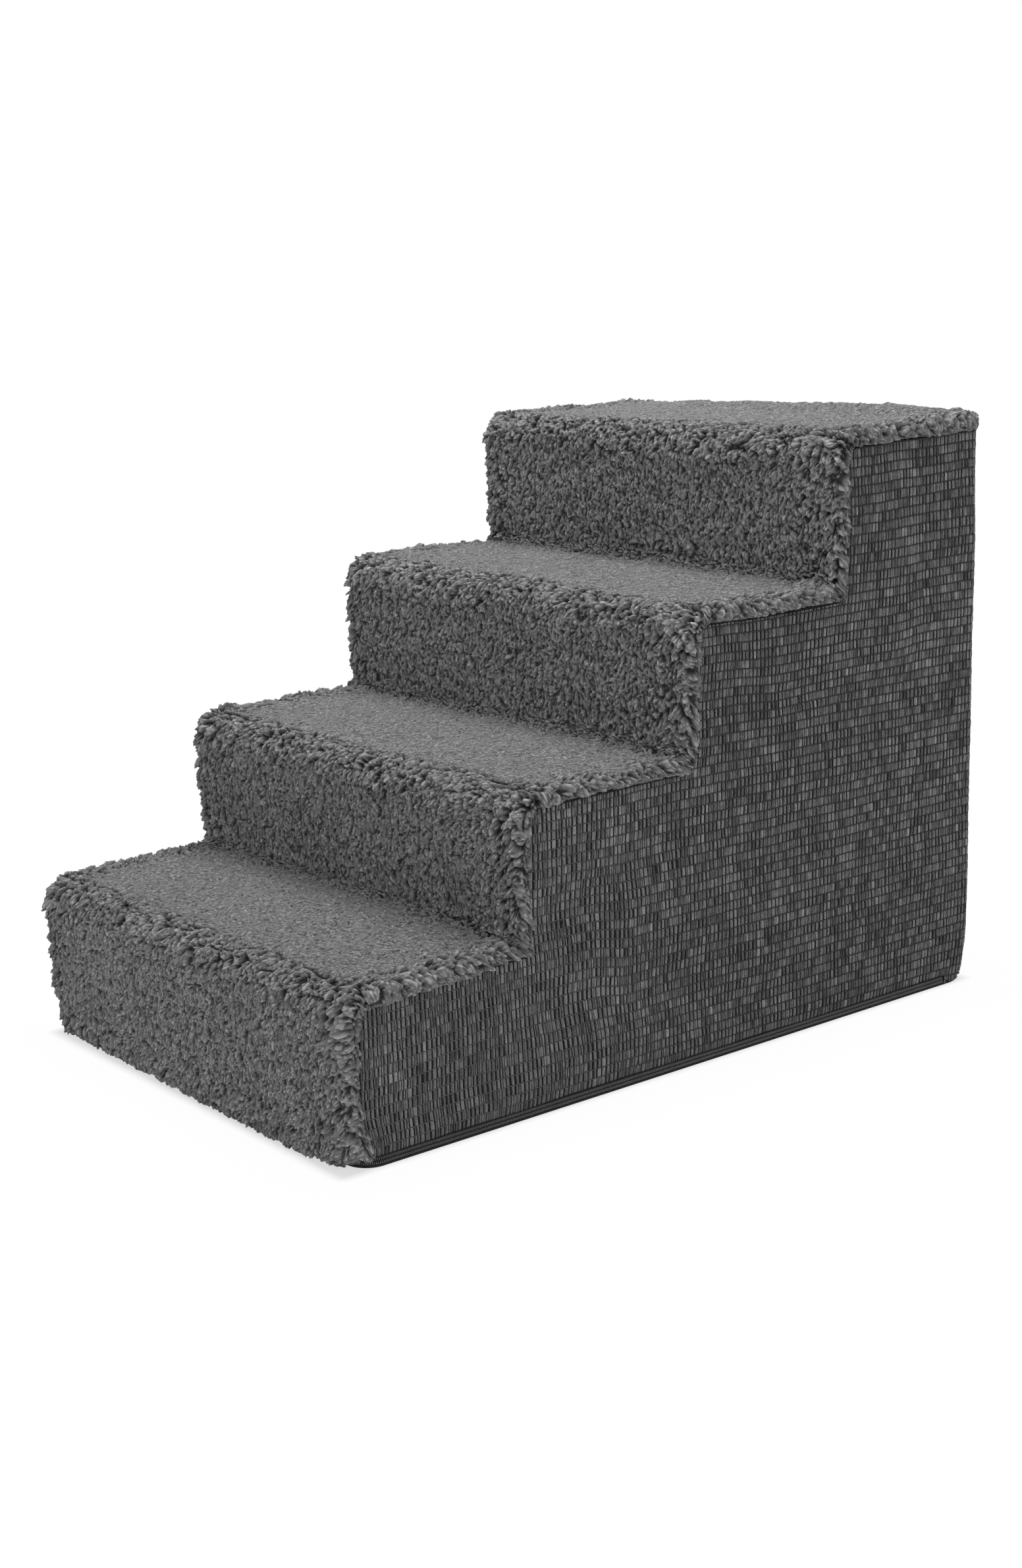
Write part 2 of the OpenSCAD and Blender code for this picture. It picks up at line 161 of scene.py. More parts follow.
# %% [markdown]
# ## Shader maths as Python
# A material is a graph of nodes. Written out one node at a time it is hard to read, so a small
# class wraps a socket: a sum of two wires adds a Math node, and 1 - mask works too. Every other
# node comes from Finish.node, which takes its type, its inputs and its settings.

# %% Wires and finishes
class Wire:
    """An output socket that can be used in sums."""

    def __init__(self, finish, socket):
        self.finish, self.socket = finish, socket

    def maths(self, operation, other, swapped=False):
        first, second = (other, self) if swapped else (self, other)
        return self.finish.node("Math", {0: first, 1: second}, operation=operation)

    def __add__(self, other):
        return self.maths("ADD", other)

    def __sub__(self, other):
        return self.maths("SUBTRACT", other)

    def __rsub__(self, other):
        return self.maths("SUBTRACT", other, swapped=True)

    def __mul__(self, other):
        return self.maths("MULTIPLY", other)

    __radd__ = __add__
    __rmul__ = __mul__

    def clamped(self):
        return self.finish.node("Clamp", {0: self})


class Finish:
    """A material, or the world, whose nodes are added by one method."""

    def __init__(self, name, world=None):
        self.material = world or bpy.data.materials.new(name)
        self.material.use_nodes = True
        self.tree = self.material.node_tree
        self.tree.nodes.clear()

    def node(self, kind, inputs=None, output=0, stops=(), **settings):
        """Adds a node: first its settings and its ramp's stops, then its sockets' values and links."""
        added = self.tree.nodes.new("ShaderNode" + kind)
        for key, value in settings.items():
            setattr(added, key, value)
        if stops:
            elements = added.color_ramp.elements
            while len(elements) < len(stops):
                elements.new(0.5)
            for element, (place, grey) in zip(elements, stops):
                element.position, element.color = place, (*np.broadcast_to(grey, 3), 1)
        for key, value in (inputs or {}).items():
            if isinstance(value, Wire):
                self.tree.links.new(value.socket, added.inputs[key])
            else:
                added.inputs[key].default_value = value
        return Wire(self, added.outputs[output]) if added.outputs else None

    def noise(self, vector, scale, detail=2.0, roughness=0.5):
        """Noise of one scale, or of two where it is stretched along its map."""
        if isinstance(scale, tuple):
            vector = self.node("Mapping", {"Vector": vector, "Scale": (*scale, 1.0)})
            scale = 1.0
        inputs = {"Vector": vector, "Scale": scale, "Detail": detail, "Roughness": roughness}
        return self.node("TexNoise", inputs)

    def map(self, name):
        return self.node("UVMap", uv_map=name)

    def object_place(self):
        return self.node("TexCoord", output=3)

    def value(self, name):
        return self.node("Attribute", output=2, attribute_name=name)

    def vector(self, operation, *inputs, output=0):
        return self.node("VectorMath", dict(enumerate(inputs)), output, operation=operation)

    def seen(self):
        """1 for light that goes to the camera, straight, by a reflection or through something."""
        camera, glossy, through = (self.node("LightPath", output=k) for k in (0, 3, 6))
        return (camera + glossy + through).clamped()

    def ramp(self, amount, *stops):
        """A colour picked by an amount from 0 to 1; each stop is a place and a grey or a colour."""
        return self.node("ValToRGB", {0: amount}, stops=stops)

    def bump(self, height, distance, strength=1.0):
        return self.node("Bump", {"Height": height, "Distance": distance, "Strength": strength})

    def surface(self, color, roughness, normal=None, metallic=0.0, sheen=0.0, specular=0.5):
        inputs = {"Base Color": color, "Roughness": roughness, "Metallic": metallic,
                  "Sheen Weight": sheen, "Sheen Roughness": 0.6, "Specular IOR Level": specular}
        if normal is not None:
            inputs["Normal"] = normal
        self.node("OutputMaterial", {"Surface": self.node("BsdfPrincipled", inputs)})
        return self.material


# %% [markdown]
# ## The pile's colour
# Sherpa is one dye lot, so its colour hardly changes. What the eye sees is light: bright tips,
# dark roots, and fine fibre lines along each lock. The mesh carries the depth below the tips and a
# map whose first axis runs along each lock. The finish paints the light into the colour from these:
# painted shade in the pits and cracks, a painted highlight on the tips, fine fibre lines and a fine bump.

# %% Sherpa finish
def sherpa_finish():
    finish = Finish("sherpa_pile")
    place = finish.map("Fibre")
    fibre = finish.noise(place, (260, 1500), 3.0, 0.6) * 0.65 + finish.noise(place, (120, 560)) * 0.35
    cloudy = finish.noise(finish.map("Cloth"), 20.0)
    # Painted shade and highlight: the depth value darkens the pits and cracks and lightens the tips
    amount = finish.value("depth") + finish.value("tone") * 0.05
    amount = amount + (fibre - 0.5) * 1.15 + (cloudy - 0.5) * 0.14
    color = finish.ramp(amount.clamped(), (0.0, 0.013), (0.3, 0.076), (0.55, 0.228), (1.0, 0.41))
    return finish.surface(color, 1.0, finish.bump(fibre, 0.0019), sheen=0.2, specular=0.08)


sherpa = sherpa_finish()


# %% [markdown]
# ## Laying cloth up the stairs
# One line, drawn from the side, carries the runner: up a riser, over a nose, along a tread and
# through a crease. At another height above the foam the noses grow and the creases tighten, but
# each point moves along a straight line, so two copies of the line give all heights between.

# %% Side line of the runner
spacing = 0.8
lip_z = 13.5
tail_y = 298.0
# How far the pile runs round each bend, and how much of the flats beside it a crease takes
lip_run, nose_run, crease_run, tail_run = 24, 34, 25, 30
crease_room = 31


def bend(start, end, length):
    """Cosines and sines of the angles from start to end, for a bend of that length along the pile."""
    turn = np.radians(np.linspace(start, end, int(length / spacing)))
    return np.cos(turn), np.sin(turn)


def stair_line(h):
    """Side view of the runner at height h above the foam: points in Y and Z and the part each is in."""
    crease = 4 + 7 * h / pile_t
    runs = []
    cosine, sine = bend(125, 0, lip_run)
    runs.append((riser_y[0] - h * (0.72 + 0.28 * cosine), lip_z - 9.5 * sine, "lip", 1))
    for i, (front, top) in enumerate(zip(riser_y, layer_top)):
        low = layer_top[i - 1] + h + crease if i else lip_z
        flat_low = layer_top[i - 1] + crease_room if i else lip_z
        z = np.linspace(low, top - nose_r, int((top - nose_r - flat_low) / spacing))
        runs.append((np.full(len(z), front - h), z, "riser", i + 1))
        cosine, sine = bend(0, 90, nose_run)
        radius = nose_r + h
        runs.append((front + nose_r - radius * cosine, top - nose_r + radius * sine, "nose", i + 1))
        end = riser_y[i + 1] - h - crease if i < 3 else tail_y
        flat_end = riser_y[i + 1] - crease_room if i < 3 else tail_y
        y = np.linspace(front + nose_r, end, int((flat_end - front - nose_r) / spacing))
        runs.append((y, np.full(len(y), top + h), "tread", i + 1))
        if i < 3:
            cosine, sine = bend(90, 0, crease_run)
            runs.append((end + crease * cosine, top + h + crease - crease * sine, "crease", i + 1))
    cosine, sine = bend(0, 125, tail_run)
    runs.append((tail_y + 12.5 * sine, layer_top[3] + h * (0.55 + 0.45 * cosine), "tail", 4))
    # Neighbouring runs share an end point, so each one but the last drops its own
    runs = [(y[:-1], z[:-1], part, step) for y, z, part, step in runs[:-1]] + [runs[-1]]
    y, z = (np.concatenate([run[k] for run in runs]) for k in (0, 1))
    part, step = (np.concatenate([np.full(len(run[0]), run[k]) for run in runs]) for k in (2, 3))
    return np.stack([y, z], 1), part, step


def run_length(line):
    """Distance along a line at each of its points."""
    return np.concatenate([[0], np.cumsum(np.linalg.norm(np.diff(line, axis=0), axis=1))])


line_foot, row_part, row_step = stair_line(0.0)
line_rise = stair_line(1.0)[0] - line_foot
row_n = len(line_foot)
crown_line = line_foot + pile_t * line_rise
row_s = run_length(crown_line)
print("runner", row_n, "rows", round(row_s[-1]), "mm long")


# %% [markdown]
# Across the runner the section starts at the side seam, bulges out over the woven panel, and then
# lies flat. It is drawn once as a few points, rounded off, and cut into even steps.

# %% Section of the runner
def read_along(places, length, values):
    """What the columns of values are at places along a line whose points lie at these lengths."""
    return np.stack([np.interp(places, length, column) for column in values.T], 1)


def even_curve(points, step):
    """A smooth curve through points, cut into even steps."""
    points = np.asarray(points, float)
    for _ in range(4):
        near, far = points[:-1], points[1:]
        cut = np.concatenate([near * 0.75 + far * 0.25, near * 0.25 + far * 0.75], 1)
        points = np.concatenate([points[:1], cut.reshape(-1, 2), points[-1:]])
    length = run_length(points)
    return read_along(np.linspace(0, length[-1], int(length[-1] / step) + 1), length, points)


half = even_curve([(cover_x + 1.2, 2.2), (cover_x + 4.2, 2.6), (cover_x + 5.6, 6.5), (cover_x + 4.6, 11.5),
                   (cover_x - 3, 12.9), (cover_x - 20, 13.2), (0, 13.2)], spacing)
section_x = np.concatenate([-half[:, 0], half[-2::-1, 0]])
section_h = np.concatenate([half[:, 1], half[-2::-1, 1]])
column_n = len(section_x)
column_t = run_length(np.stack([section_x, section_h], 1))
side_gap = np.minimum(column_t, column_t[-1] - column_t)
print("section", column_n, "columns", round(column_t[-1]), "mm wide")

# %% [markdown]
# ## How the cover settles
# The cover does not sit quite square on its core: the noses bulge and the creases pull, as its
# seams show in the photograph. A cloth simulation would smooth the seams and lose the pile's map,
# so a short list gives a few offsets, and every point of the cover moves by a blend of them.

# %% Offsets of the cover
# Each line gives, at a place seen from the side, how far the cloth is off to the back and up,
# at the right and at the left side
sag = [
    # distance from the first riser, height, right back, right up, left back, left up
    (0, 60, 0, 0, -1, 0), (0, 111, 0, 0, -1, 0), (75, 111, 0, 2.5, 0, 1.5), (140, 111, -4, 7, -5, 2),
    (151, 165, -5, 3, -7, 0), (151, 215, -4.5, -1, -7, 0), (225, 221, 0, 0, 0, 2), (290, 221, -1, 1, -2, 2),
    (302, 250, 0, 1, -5, 0), (302, 275, 3, 0, -5, 0), (302, 325, 4, -4, -4, 1), (380, 331, 0, -4.5, 0, 2),
    (440, 331, 1, -4, -2, 2), (453, 345, 4, -3, -5, 0), (453, 375, 8, 0, -5, 0), (453, 405, 7, 0, -4, 0),
    (453, 435, 1.5, 1, -2, 0), (530, 441, 0, 3, 0, 0), (606, 441, 2, 5, 0, 2), (606, 330, 3, 1, 2, 0),
    (606, 200, 3, 0, 2, 0), (606, 60, 3.5, 0, 2, 0),
]
# At these places it does lie square
square = [(606, 0), (0, 0), (150, 0), (300, 0), (450, 0), (300, 110), (450, 110), (450, 220)]
sag += [(*place, 0, 0, 0, 0) for place in square]
# How far round its place a line acts, and the height below which its offsets fade out
sag_reach, sag_low_z = 42.0, 40
# How far the heel and the front foot are drawn in, and how far from the floor and the ends
heel_pull, heel_pull_z, heel_pull_y = 5, 42, 268
foot_pull, foot_pull_y = 6, 40
foot_low_z, foot_high_z = 6, 40
side_band = 9
front_r, front_foot_r = 2, 14
print(len(sag), "places say how the cover lies")


def smooth_step(x):
    """Rises smoothly from 0 to 1 as x does."""
    x = np.clip(x, 0, 1)
    return x * x * (3 - 2 * x)


def bell(x, width):
    """1 where x is 0, falling to almost nothing at twice the width."""
    return np.exp(-((x / width) ** 2))


def rounded(x, y, corner_x, corner_y, facing):
    """Draws a square corner in plan in to a round one; facing is -1 at the front and 1 at the back."""
    out_x, out_y = np.abs(x) - corner_x, facing * (y - corner_y)
    beyond = (out_x > 0) & (out_y > 0)
    shrink = np.maximum(out_x, out_y) / np.maximum(np.hypot(out_x, out_y), 1e-6)
    return (np.where(beyond, np.sign(x) * (corner_x + out_x * shrink), x),
            np.where(beyond, corner_y + facing * out_y * shrink, y))


def settled(points, plan=True):
    """Moves points of the cover to where the cloth really lies, and rounds its front foot in plan."""
    x, y, z = points.reshape(-1, 3).T.copy()
    share, total = np.zeros((4, len(x))), np.zeros(len(x))
    for at_y, at_z, *offsets in sag:
        weight = np.exp(-((y - riser_y[0] - at_y) ** 2 + (z - at_z) ** 2) / sag_reach ** 2) + 1e-9
        share += weight * np.array(offsets)[:, None]
        total += weight
    share /= total
    right = np.clip(0.5 + x / (2 * cover_x), 0, 1)
    low = np.clip(1 - z / heel_pull_z, 0, 1) ** 2
    y -= heel_pull * low * smooth_step((y - heel_pull_y) / heel_pull_z)
    high = smooth_step(z / sag_low_z)
    y += high * (share[0] * right + share[2] * (1 - right))
    z += high * (share[1] * right + share[3] * (1 - right))
    if plan:
        foot = 1 - smooth_step((z - foot_low_z) / (foot_high_z - foot_low_z))
        at_side = bell(np.minimum(np.abs(x), cover_x + 3) - cover_x - 3, side_band)
        y += foot_pull * foot * at_side * smooth_step((riser_y[0] + foot_pull_y - y) / foot_pull_y)
        radius = front_r + front_foot_r * foot
        x, y = rounded(x, y, cover_x - radius, riser_y[0] + radius, facing=-1)
    return np.stack([x, y, z], -1).reshape(points.shape)


# %% Grid of the runner
def unit(vectors):
    return vectors / np.maximum(np.linalg.norm(vectors, axis=-1, keepdims=True), 1e-9)


def gathered(*values):
    """Values on one grid, put together as points or as pairs."""
    return np.stack(np.broadcast_arrays(*values), -1)


def grid_directions(points):
    """Unit directions down the rows of a grid, over its columns and outwards from the stairs."""
    down, over = np.gradient(points, axis=(0, 1))
    return unit(down), unit(over), unit(np.cross(over, down))


flat_yz = line_foot[:, None] + section_h[None, :, None] * line_rise[:, None]
pile_base = gathered(section_x, flat_yz[:, :, 0], flat_yz[:, :, 1])
pile_down, pile_over, pile_out = grid_directions(pile_base)
print("pile grid", pile_base.shape[:2])


# %% [markdown]
# ## Combing the pile
# Sherpa is fleece whose fibres cling together in locks. Each lock is a small tapered dome that is
# longer than wide and rises towards its tip, and where two meet the higher one hides the other.
# Laying over a hundred thousand such domes on a height map, high at the edges and flat on the worn
# treads, gives the curls and the dark pits. Hair strands would be lost in the exported model.

# %% Where each kind of lock grows
pile_grid = (row_n, column_n)


def by_row(values):
    return np.repeat(values[:, None], column_n, 1)


def by_column(values):
    return np.repeat(values[None, :], row_n, 0)


def soft_noise(shape, pitch, rng):
    """Smooth random values from -1 to 1 over a grid, with hills a pitch apart in points."""
    rows, columns = (int(math.ceil(n / p)) + 3 for n, p in zip(shape, pitch))
    knots = rng.uniform(-1, 1, (rows, columns))
    y, x = np.arange(shape[0]) / pitch[0], np.arange(shape[1]) / pitch[1]
    j, i = y.astype(int), x.astype(int)
    v, u = smooth_step(y - j)[:, None], smooth_step(x - i)[None, :]
    a, b = knots[np.ix_(j, i)], knots[np.ix_(j, i + 1)]
    c, d = knots[np.ix_(j + 1, i)], knots[np.ix_(j + 1, i + 1)]
    return (a * (1 - u) + b * u) * (1 - v) + (c * (1 - u) + d * u) * v


def hills(pitch_s, pitch_t):
    """Soft noise over the pile, with its pitch up and across the runner in millimetres."""
    return soft_noise(pile_grid, (pitch_s / spacing, pitch_t / spacing), seeded)


def places_of(part):
    """How far up the runner the middle of each nose or crease lies."""
    return [row_s[(row_part == part) & (row_step == i)].mean() for i in np.unique(row_step[row_part == part])]


def gap_to(part):
    return np.min([np.abs(row_s - place) for place in places_of(part)], axis=0)


nose_gap, crease_gap = gap_to("nose"), gap_to("crease")
tail_gap = row_s[-1] - row_s
end_gap = np.minimum(row_s, tail_gap)
on_right = np.arange(column_n) > column_n / 2

patchy = hills(22, 22)
on_riser = by_row(smooth_step(1.2 * np.abs(np.gradient(crown_line[:, 1])) / spacing - 0.1))
near_nose = by_row(bell(nose_gap, 18))
near_side = bell(np.clip(side_gap - 14, -6, None), 22 + 5 * on_riser) * np.where(on_right, 1.0, 0.7)
near_seam = by_column(smooth_step((5 - side_gap) / 3))
near_crease = by_row(bell(crease_gap, 13))
near_end = by_row(smooth_step((34 - end_gap) / 20))
wild = (near_nose + near_side) * (0.85 + 0.45 * patchy) + 0.5 * near_end + near_crease * (0.15 + 0.3 * patchy)
wild = np.clip(wild, 0, 1) * (1 - 0.75 * near_seam)
downwards = np.clip(on_riser + near_nose, 0, 1)
print("rough edges cover", round(100 * float((wild > 0.5).mean())), "% of the runner")

# %% Which way the locks point
# Angle on the map: 0 points up the stairs, 90 degrees points to +X
tread_angle = math.radians(62)
swirl = hills(26, 20)
drift = hills(90, 110)
comb_angle = math.pi * downwards + tread_angle * (1 - downwards) + 0.75 * swirl + 0.5 * drift
outwards = by_column(np.where(on_right, math.pi / 2, -math.pi / 2))
comb_angle = comb_angle * (1 - near_seam) + outwards * near_seam
print("locks on the treads point", round(math.degrees(tread_angle)), "degrees off the climb")

# %% [markdown]
# A lock is laid on a small window of the height map, turned to its own angle, and it wins only
# where it stands higher than what is there. Its edge is frayed by a noise that bends the window.

# %% Laying locks
def blended(tread, riser, rough, seam):
    """A size that goes from tread to riser, to the rough edges and to the seam."""
    size = tread + (riser - tread) * on_riser
    size = size + (rough - size) * wild
    return size + (seam - size) * near_seam


def lay_locks(length_map, width_map, height_map, cover, spread, floor_level, ragged, grows=1.0):
    """Lays overlapping locks. Returns height, place along and across the lock and tone, at each point."""
    fray = [ragged * (1.1 * hills(3.4, 3.4) + 1.8 * hills(8, 8)) for _ in range(2)]
    height = floor_level.copy()
    along, across, tone = (np.zeros(pile_grid) for _ in range(3))
    density = cover / (1.6 * length_map * width_map) * grows
    count = int(row_n * column_n * spacing * spacing * density.max())
    js, ks = seeded.uniform(0, row_n - 1, count), seeded.uniform(0, column_n - 1, count)
    kept = seeded.uniform(0, density.max(), count) < density[js.astype(int), ks.astype(int)]
    js, ks = js[kept], ks[kept]
    j, k = js.astype(int), ks.astype(int)
    count = len(js)
    length = length_map[j, k] * seeded.lognormal(0, 0.3, count)
    width = width_map[j, k] * seeded.lognormal(0, 0.28, count)
    tall = height_map[j, k] * seeded.uniform(0.55, 1.25, count)
    lift = seeded.normal(0, 0.2, count) * height_map[j, k]
    loose = (spread + 0.6 * near_side[j, k] + 0.6 * (1 - downwards[j, k])) * (1 - 0.6 * near_seam[j, k])
    angle = comb_angle[j, k] + seeded.normal(0, 1, count) * loose
    bend, phase = seeded.normal(0, 0.6, count), seeded.uniform(0, 6.28, count)
    shade = seeded.uniform(-1, 1, count)
    cosine, sine = np.cos(angle), np.sin(angle)
    reach = (0.5 * length / spacing).astype(int) + 2
    rows, columns = np.arange(row_n), np.arange(column_n)
    for n in range(count):
        tall_way = slice(max(0, j[n] - reach[n]), j[n] + reach[n] + 1)
        wide_way = slice(max(0, k[n] - reach[n]), k[n] + reach[n] + 1)
        window = tall_way, wide_way
        ds = (rows[tall_way, None] - js[n]) * spacing + fray[0][window] - fray[0][j[n], k[n]]
        dt = (columns[None, wide_way] - ks[n]) * spacing + fray[1][window] - fray[1][j[n], k[n]]
        a = (ds * cosine[n] + dt * sine[n]) * (2 / length[n])
        b = (dt * cosine[n] - ds * sine[n]) / width[n]
        b = b + bend[n] * (a * a - 0.3) + 0.2 * np.sin(4 * a + phase[n])
        room = np.minimum(1 - a ** 4, 1 - b * b * (1.1 - 0.3 * a))
        h = lift[n] + tall[n] * np.maximum(room, 0) ** 0.5 * (0.68 + 0.32 * a)
        won = (room > 0) & (h > height[window])
        height[window][won] = h[won]
        along[window][won] = (a * length[n] * 0.5)[won] + 40 * phase[n]
        across[window][won] = (b * width[n])[won] + 17 * phase[n]
        tone[window][won] = shade[n]
    print("laid", count, "locks")
    return height, along, across, tone


def softened(values, passes):
    """Each pass mixes every point with its neighbours along and across."""
    for _ in range(passes):
        for axis in (0, 1):
            values = 0.5 * values + 0.25 * (np.roll(values, 1, axis) + np.roll(values, -1, axis))
    return values


# %% [markdown]
# Two sizes of lock are laid. Crumbs of about 4 mm cover everything. Tufts of 6 to 9 mm lie under
# them: they are tall at the rough edges and on the risers, and low on the treads.

# %% Tufts and crumbs
coarse = near_side * on_riser
crumb = lay_locks(
    blended(4.2, 3.7, 3.4, 3.6), blended(1.0, 0.9, 1.1, 1.0), blended(0.8, 1.35, 2.3, 1.5),
    cover=1.85, spread=0.36, floor_level=np.full(pile_grid, -0.5), ragged=0.6,
)
tuft = lay_locks(
    blended(9.0, 7.6, 6.4 + 1.4 * coarse, 5.0), blended(2.1, 1.7, 2.0 + 0.15 * coarse, 1.6),
    blended(1.1, 2.2, 3.5 + 1.5 * coarse, 1.8),
    cover=1.3, spread=0.55, floor_level=-1.2 - 1.6 * wild, ragged=0.8,
    grows=np.clip(wild * 1.3 + 0.9 * on_riser + 0.2, 0.02, 1),
)
rough_share = smooth_step(wild * 1.3 - 0.1)
tuft_share = np.clip(0.3 + rough_share + 0.45 * on_riser, 0, 1)
pile_height = (crumb[0] + tuft[0] * tuft_share) * (0.3 + 0.7 * smooth_step(side_gap / 8))
print("pile heights", round(pile_height.min(), 1), "to", round(pile_height.max(), 1), "mm")


# %% [markdown]
# Wandering cracks part the pile into clumps, as on the real risers. The height is then set along
# the normals, and the tips are pushed along the comb so that they hang over.

# %% Cracks, waves and tufts at the back
def cracks(pitch_s, pitch_t, fine):
    """Thin lines where a field of soft hills goes through zero."""
    field = hills(pitch_s, pitch_t)
    slope = np.hypot(*np.gradient(field)) / spacing
    return bell(field, fine * np.maximum(slope, 0.02))


crack_depth = 3.0
crack = np.maximum(cracks(28, 9, 0.45), 0.8 * cracks(14, 6, 0.42))
crack = crack * (0.05 + 0.95 * np.clip(on_riser + 0.6 * near_nose, 0, 1)) * (1 - near_seam)
crack = crack * smooth_step(0.5 + 1.1 * hills(9, 8))
pile_height = pile_height - crack_depth * crack

# Behind each nose the combed edge parts from the flat tread along a broken, wandering line
nose_reach, far_off = 60, 999
past_nose = np.min([np.where(np.abs(row_s - place) < nose_reach, row_s - place, far_off)
                    for place in places_of("nose")], axis=0)
wander = 16 + 7 * hills(300, 16)
parting = bell(past_nose[:, None] - wander, 1.5)
parting = parting * smooth_step(0.35 + 1.2 * hills(30, 13))
pile_height = pile_height - crack_depth * parting * (1 - near_seam)
crack = np.maximum(crack, 0.9 * parting)
pile_height += 0.2 * soft_noise(pile_grid, (2.3, 2.3), seeded)
clumps = hills(7, 11)
pile_height += 0.45 * clumps * (1 - on_riser) * (1 - near_seam)

width_share = section_x[None, :] / cover_x
middle = np.clip(1 - width_share ** 2, 0, 1) * smooth_step(np.minimum(nose_gap, crease_gap) / 40)[:, None]
back_tufts = bell(tail_gap - 34, 14)[:, None] * (4.5 + 3.5 * width_share) * (1 - near_seam)
back_tufts *= 1 - 0.75 * smooth_step((side_gap - 75) / -55)[None, :]
held_down = smooth_step((tail_gap - 4) / 16)[:, None]
pile_height = pile_height * (0.35 + 0.65 * held_down)
waves = hills(32, 38)
crown = (1.2 * middle + 0.9 * drift + 0.9 * waves) * held_down + back_tufts
print("cracks cover", round(100 * float((crack > 0.5).mean())), "% of the runner")

# %% [markdown]
# The points are the runner's grid, moved out by the height and along the comb. Then the cover's
# own shape is put in: its rounded back corners, its offsets, and the room it leaves for the zip.

# %% Pile geometry
lean = np.clip(pile_height, 0, None) * (0.3 + 0.4 * rough_share) * (1 - near_seam)
comb = pile_down * np.cos(comb_angle)[:, :, None] + pile_over * np.sin(comb_angle)[:, :, None]
pile_points = pile_base + pile_out * (pile_height + crown)[:, :, None] + comb * lean[:, :, None]
# Nothing hangs below the seams: a tip that would is lifted to just above the panel's edge
tip_clear = 2.0
rise = np.concatenate([np.zeros((row_n, 1)), line_rise], 1)[:, None, :]
raised = ((pile_points - pile_base) * rise).sum(2) / (rise ** 2).sum(2) + section_h[None, :]
pile_points += rise * np.clip(tip_clear - raised, 0, None)[:, :, None]
# The runner's two back corners are rounded like the cover below them
back_corner_r = 16
x, y, z = np.moveaxis(pile_points, 2, 0)
x, y = rounded(x, y, cover_x + 3 - back_corner_r, panel_back - 2 - back_corner_r, facing=1)
x, y, z = np.moveaxis(settled(gathered(x, y, z)), 2, 0)
# At the right foot the pile is tucked up over the zip, and at the left foot it leaves the tab room
foot_rows, tab_z, floor_clear = row_s[:, None] < 60, 11, 0.9
tuck_up, tuck_width, tuck_run = 6.5, 28, 46
foot_lift = tuck_up * bell(cover_x + 4 - x, tuck_width) * smooth_step((tuck_run - end_gap) / 40)[:, None]
z = np.maximum(z + np.where(foot_rows, foot_lift, 0), floor_clear)
y = np.where((x < -cover_x - 1.5) & (z < tab_z) & foot_rows, np.minimum(y, tab_end_y), y)
pile_points = gathered(x, y, z)
shown_normal = grid_directions(pile_points)[2]
print("pile from", np.round(pile_points.min((0, 1)), 1), "to", np.round(pile_points.max((0, 1)), 1))

# %% [markdown]
# The finish paints shade by how deep each point lies: painted shade in the pits and cracks and a
# painted highlight on the tips. A point's depth is its height less that of its close and its wide
# surroundings, which are the height map softened a little and a lot.

# %% Depth below the tips, which the finish paints as shade and highlight
relief = np.clip(on_riser + rough_share, 0, 1)
close_depth = (pile_height - softened(pile_height, 3)) / (0.36 + 0.12 * on_riser + 0.3 * rough_share)
wide_depth = (pile_height - softened(pile_height, 30)) / (0.9 + 0.6 * on_riser + 1.0 * rough_share)
# Painted shade: points below their surroundings and in the cracks are darkened in the colour, and the tips
# are lightened as a painted highlight
pile_painted_shade = (0.19 - 0.05 * relief) * close_depth + (0.12 + 0.13 * relief) * wide_depth - 0.3 * crack
# Pits get a stronger painted shade than the tips get a painted highlight
pit_share = 1 + 0.65 * on_riser + 0.9 * rough_share + 0.5 * coarse
tip_share = 0.55 + 0.1 * on_riser - 0.1 * rough_share
pile_painted_shade = np.where(pile_painted_shade < 0, pit_share, tip_share) * pile_painted_shade
pile_painted_shade = np.clip(0.61 + 0.045 * relief + pile_painted_shade, 0, 1)
lock_map = gathered(crumb[1], crumb[2])
lock_tone = 0.6 * crumb[3] + 0.4 * tuft[3] * tuft_share
print("mean depth value", round(float(pile_painted_shade.mean()), 3))

# %% [markdown]
# The pile is cut into twelve pieces, at the noses and in the middle of the treads, because a mesh
# of over 200,000 triangles would be thinned on export. The normals come from the whole, so no cut
# shows.

# %% Pieces of pile
def pile_piece(name, first, last):
    """The rows from first to last as one piece, with normals that run on into its neighbours."""
    rows = slice(first, last + 1)
    piece = new_piece(name, pile_points[rows], grid_faces(last - first + 1, column_n), sherpa,
                      cloth=gathered(column_t[None, :], row_s[rows, None]), replaced=["sherpa_runner"])
    add_map(piece.data, "Fibre", lock_map[rows].reshape(-1, 2) * MM)
    # The depth attribute carries the painted shade and highlight to the finish
    add_value(piece.data, "depth", pile_painted_shade[rows])
    add_value(piece.data, "tone", lock_tone[rows])
    piece.data.normals_split_custom_set_from_vertices(shown_normal[rows].reshape(-1, 3))
    print(name, len(piece.data.polygons), "faces")
    return piece


for i in (1, 2, 3, 4):
    of_step = np.flatnonzero(row_step == i)
    nose_rows = np.flatnonzero((row_step == i) & (row_part == "nose"))
    first, edge, last = max(0, of_step[0] - 1), nose_rows[len(nose_rows) // 2], of_step[-1]
    pile_piece(f"sherpa_riser_{i}", first, edge)
    pile_piece(f"sherpa_tread_{i}_front", edge, (edge + last) // 2)
    pile_piece(f"sherpa_tread_{i}_rear", (edge + last) // 2, last)


# %% [markdown]
# ## The knitted back of the runner
# Under the pile lies the cloth that holds it. It is the sheet that was cut, about 0.40 m wide and
# a little over a metre long.

# %% Runner backing
def knit_finish():
    finish = Finish("sherpa_backing")
    place = finish.node("Mapping", {"Vector": finish.map("Cloth"), "Scale": (700, 500, 1.0)})
    loops = finish.node("TexWave", {"Vector": place, "Scale": 1.0, "Distortion": 2.0}, output=1)
    color = finish.ramp(loops, (0, 0.05), (1, 0.12))
    return finish.surface(color, 0.9, finish.bump(loops, 0.0004))


